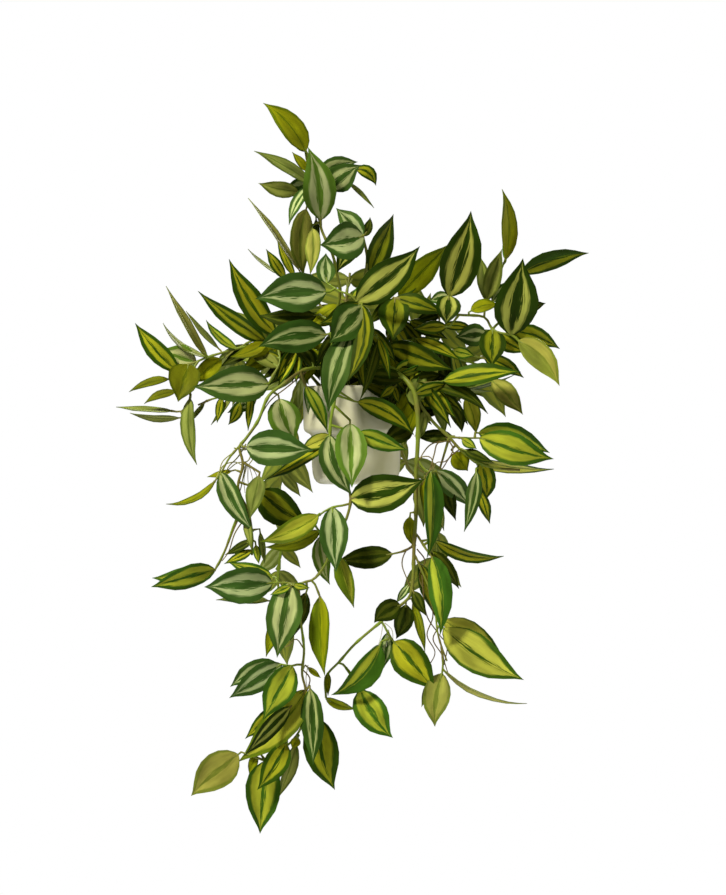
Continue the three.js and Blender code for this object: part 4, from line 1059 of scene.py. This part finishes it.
# ---------------------------------------------------------------- back and side sprays
# Seven shoots at the back and sides that the photograph doesn't show. They bear leaves at
# even steps, turned round the stem and outwards, each with a smaller partner.
TURN_PER_LEAF = 2.4        # radians round a back stem from one leaf to the next
PARTNER_SHARE = 0.75       # a partner's reach over its leaf's
BACK_COLOURINGS = "wycyb"
PARTNER_COLOURINGS = "ywbyc"
BACK_SPRAYS = [            # name, stem, first leaf along it, spacing, leaf length, seed
    ("spray_back_left", [(-12, 40, 14), (-34, 78, 30), (-66, 98, 54), (-100, 94, 70),
      (-130, 76, 80)],
     49, 19, 62, 3),
    ("spray_back_right", [(12, 40, 14), (34, 80, 32), (68, 102, 56), (104, 106, 72), (132, 92, 82)],
     40, 19, 62, 8),
    ("spray_back_high", [(0, 40, 20), (-2, 84, 34), (-10, 126, 46), (-6, 160, 54)],
     48, 18, 58, 5),
    ("spray_back_trailing_left", [(-24, 40, 24), (-40, 62, 46), (-58, 48, 64), (-70, 6, 72),
      (-76, -50, 76), (-74, -100, 76), (-78, -150, 74), (-72, -190, 72)],
     64, 24, 54, 11),
    ("spray_back_trailing_right", [(24, 40, 24), (36, 60, 46), (44, 46, 66), (42, 0, 74),
      (52, -34, 76), (74, -62, 76), (80, -100, 75), (78, -140, 74)],
     60, 26, 54, 14),
    ("spray_side_left", [(-30, 40, 8), (-56, 66, 10), (-92, 72, 20), (-126, 62, 26)],
     44, 17, 56, 20),
    ("spray_side_right", [(30, 40, 6), (58, 68, 8), (94, 76, 14), (128, 66, 20)],
     44, 17, 56, 23),
]


def back_leaves(route, first, spacing, leaf_length, seed):
    """Leaves of a back stem in rows like the listed ones, each with a smaller partner."""
    state = seed

    def chance():
        nonlocal state
        state = state * 16807 % 2147483647
        return state / 2147483647

    line = smooth_line([Vector((x, depth, z)) for x, z, depth in route], 1.0)
    total = sum((after - before).length for before, after in zip(line, line[1:]))
    leaves = []
    turn = chance() * 6
    distance = first
    while distance <= total:
        i = min(round(distance / total * (len(line) - 1)), len(line) - 2)
        spot = line[i]
        along = (line[i + 1] - line[max(i - 1, 0)]).normalized()
        turn += TURN_PER_LEAF
        sideways = math.cos(turn)
        droop = -0.35 - 0.5 * chance()
        length = leaf_length * (0.75 + 0.4 * chance())
        reach = Vector((
            along.x * 0.5 + sideways * along.z * 0.9 + (0.25 if sideways > 0 else -0.25),
            0.2 + 0.5 * abs(math.sin(turn)),
            along.z * 0.4 - sideways * along.x * 0.9 + droop * 0.5,
        )).normalized() * length
        seen = math.hypot(reach.x, reach.z)
        leaves.append((spot.x, spot.z, spot.x + reach.x, spot.z + reach.z,
                       0.4 * min(length, seen * 1.2), 1 if chance() < 0.5 else -1,
                       4 * chance() - 2, reach.y, BACK_COLOURINGS[(len(leaves) + seed) % 5]))
        leaves.append((spot.x, spot.z, spot.x - PARTNER_SHARE * reach.x,
                       spot.z + PARTNER_SHARE * reach.z, 0.32 * seen, -1 if sideways > 0 else 1,
                       1.0, 0.9 * reach.y, PARTNER_COLOURINGS[len(leaves) % 5]))
        distance += spacing
    return leaves


for name, route, first, spacing, leaf_length, seed in BACK_SPRAYS:
    leaves = back_leaves(route, first, spacing, leaf_length, seed)
    grow_spray(name, [route], leaves, BACKWARDS)

bpy.data.objects.remove(blade_form)

# ---------------------------------------------------------------- strands and roots
# Wiry leafless shoots, dried brown or pale, that curl between the leaves, and tufts of white
# air roots that hang from the joints.
STRAND_STEP = 3.0
STRAND_THINS = 0.4    # share of its radius that a strand loses towards its tip
DRY_STRANDS = [
    [(-50, 61, -50), (-70, 45, -57), (-86, 32, -60), (-97, 14, -62), (-109, -4, -62), (-117, -14, -62)],
    [(-114, -78, -64), (-122, -96, -60), (-129, -114, -58), (-136, -130, -57), (-141, -137, -56)],
    [(-110, -84, -66), (-121, -100, -62), (-127, -118, -60), (-134, -128, -60)],
    [(96, -8, -62), (82, -10, -66), (78, -22, -70), (72, -40, -74), (62, -34, -76), (64, -25, -78),
     (74, -24, -80), (77, -33, -80), (70, -42, -79), (66, -52, -78)],
    [(90, -4, -60), (97, -16, -66), (90, -28, -72), (80, -30, -76), (76, -42, -78)],
    [(84, -8, -60), (74, -12, -68), (66, -22, -76), (60, -36, -77)],
    [(104, -16, -60), (94, -24, -66), (86, -36, -74), (80, -38, -78)],
    [(60, -112, -74), (50, -118, -70), (46, -131, -68), (51, -146, -70), (55, -156, -73)],
    [(61, -116, -74), (69, -128, -72), (63, -143, -70), (68, -158, -73)],
    [(79, -172, -78), (84, -190, -74), (77, -206, -73), (86, -222, -76), (92, -240, -74), (97, -247, -72)],
    [(72, -154, -76), (77, -182, -74), (71, -202, -72), (79, -219, -74), (73, -233, -73)],
    [(66, -142, -74), (70, -180, -72), (82, -200, -71), (91, -213, -74), (88, -232, -75)],
    [(-52, -216, -80), (-60, -206, -78), (-70, -214, -76), (-76, -206, -75)],
    [(-54, -236, -80), (-46, -246, -78), (-50, -262, -77), (-44, -272, -76)],
]
PALE_STRANDS = [
    [(-112, -8, -64), (-121, -18, -62), (-133, -28, -61), (-137, -40, -62)],
    [(-110, -11, -64), (-118, -24, -60), (-127, -33, -60), (-130, -41, -62)],
    [(-117, -14, -64), (-106, -18, -61), (-108, -28, -60), (-119, -30, -60), (-128, -37, -61)],
    [(-122, -15, -62), (-112, -17, -60), (-104, -15, -61), (-101, -22, -62), (-108, -33, -63)],
    [(-141, -48, -64), (-133, -33, -61), (-121, -29, -60), (-113, -33, -62)],
    [(-110, -31, -63), (-113, -45, -60), (-116, -58, -61), (-120, -64, -62)],
]
AIR_ROOTS = [
    [(-109, -33, -62), (-112, -46, -60), (-111, -60, -60)],
    [(-108, -33, -62), (-108, -48, -59), (-106, -62, -60)],
    [(-107, -33, -62), (-104, -43, -60), (-103, -52, -61)],
    [(-107, -32, -62), (-101, -39, -60), (-98, -47, -62)],
    [(27, -190, -70), (25, -203, -68), (22, -213, -68)],
    [(28, -190, -70), (32, -201, -68), (30, -214, -68)],
    [(29, -190, -70), (36, -197, -67), (37, -208, -67)],
    [(-48, -232, -80), (-50, -246, -78), (-48, -258, -78)],
]
for name, strands, radius, tones in [
        ("dry_strands", DRY_STRANDS, 0.75, ((0.260, 0.210, 0.050), (0.120, 0.075, 0.022))),
        ("pale_strands", PALE_STRANDS, 0.75, ((0.420, 0.440, 0.110), (0.280, 0.270, 0.060))),
        ("air_roots", AIR_ROOTS, 0.45, ((0.700, 0.690, 0.560), (0.520, 0.480, 0.330)))]:
    lines = [smooth_line([seen_place(*spot) for spot in strand], STRAND_STEP) for strand in strands]
    piece = grow_stems(name, [[(spot, radius * (1 - STRAND_THINS * i / len(line)))
                               for i, spot in enumerate(line)] for line in lines])
    piece.data.materials.append(stem_skin(name + "_skin", *tones))
    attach(piece, "root")

# ---------------------------------------------------------------- floor and light
# A round pale studio floor a good way under the plant, which hangs clear of it, one strong
# light at the left, three softer ones round it and white air behind.
FLOOR_RADIUS = 1450.0
FLOOR_LEVEL = -780.0
FLOOR_BEVEL = 40.0       # width of the sloping edge
FLOOR_RISE = 10.0        # its height
FLOOR_INNER = 300.0

floor = start_ring("studio_floor", FLOOR_RADIUS, FLOOR_LEVEL, 96, "NGON")
bpy.ops.mesh.inset(thickness=FLOOR_BEVEL * MM)
bpy.ops.transform.translate(value=(0, 0, FLOOR_RISE * MM))
bpy.ops.mesh.inset(thickness=FLOOR_INNER * MM)
bpy.ops.object.mode_set(mode="OBJECT")
bpy.ops.object.shade_smooth()
paint, tree, shader = start_material("studio_floor_paint")
shader.inputs["Specular IOR Level"].default_value = 0.1
shader.inputs["Roughness"].default_value = 0.9
two_tones(tree, noise_field(tree, 3, 2), (0.0, (0.80, 0.82, 0.96)), (1.0, (0.84, 0.86, 1.00)))
floor.data.materials.append(paint)

for label, spot, size, energy in [
        ("key_light", (-1.7, -1.6, 2.2), 0.6, 118.0),
        ("fill_light", (1.9, -2.0, 0.3), 1.6, 9.0),
        ("side_light", (2.4, 0.7, 1.0), 1.6, 18.0),
        ("back_light", (0.4, 2.3, 1.6), 1.6, 56.0)]:
    bpy.ops.object.light_add(type="AREA", location=spot)
    lamp = bpy.context.object
    lamp.name = label
    lamp.data.size = size
    lamp.data.energy = energy
    lamp.data.color = (1.0, 0.97, 0.80)
    lamp.rotation_euler = (-Vector(spot)).to_track_quat("-Z", "Y").to_euler()
world = bpy.data.worlds.new("studio_air")
world.use_nodes = True
air = world.node_tree
lit = air.nodes["Background"]
lit.inputs["Color"].default_value = (1.0, 0.98, 0.80, 1)
lit.inputs["Strength"].default_value = 0.16
shown = air.nodes.new("ShaderNodeBackground")
shown.inputs["Color"].default_value = (1, 1, 1, 1)
shown.inputs["Strength"].default_value = 1.0
path = air.nodes.new("ShaderNodeLightPath")
either = air.nodes.new("ShaderNodeMixShader")
air.links.new(path.outputs["Is Camera Ray"], either.inputs["Fac"])
air.links.new(lit.outputs["Background"], either.inputs[1])
air.links.new(shown.outputs["Background"], either.inputs[2])
air.links.new(either.outputs["Shader"], air.nodes["World Output"].inputs["Surface"])
bpy.context.scene.world = world
bpy.context.scene.view_settings.view_transform = "Standard"

# ---------------------------------------------------------------- camera
# Level with the pot's body, 2.5 m in front of the pot's axis, with a lens that makes one
# pixel of the photograph one millimetre there.
PHOTO_HEIGHT = 895       # pixels
SENSOR = 36.0

bpy.ops.object.camera_add(location=EYE * MM, rotation=(math.radians(90), 0, 0))
camera = bpy.context.object
camera.data.sensor_width = SENSOR
camera.data.lens = SENSOR * -EYE.y / PHOTO_HEIGHT
bpy.context.scene.camera = camera
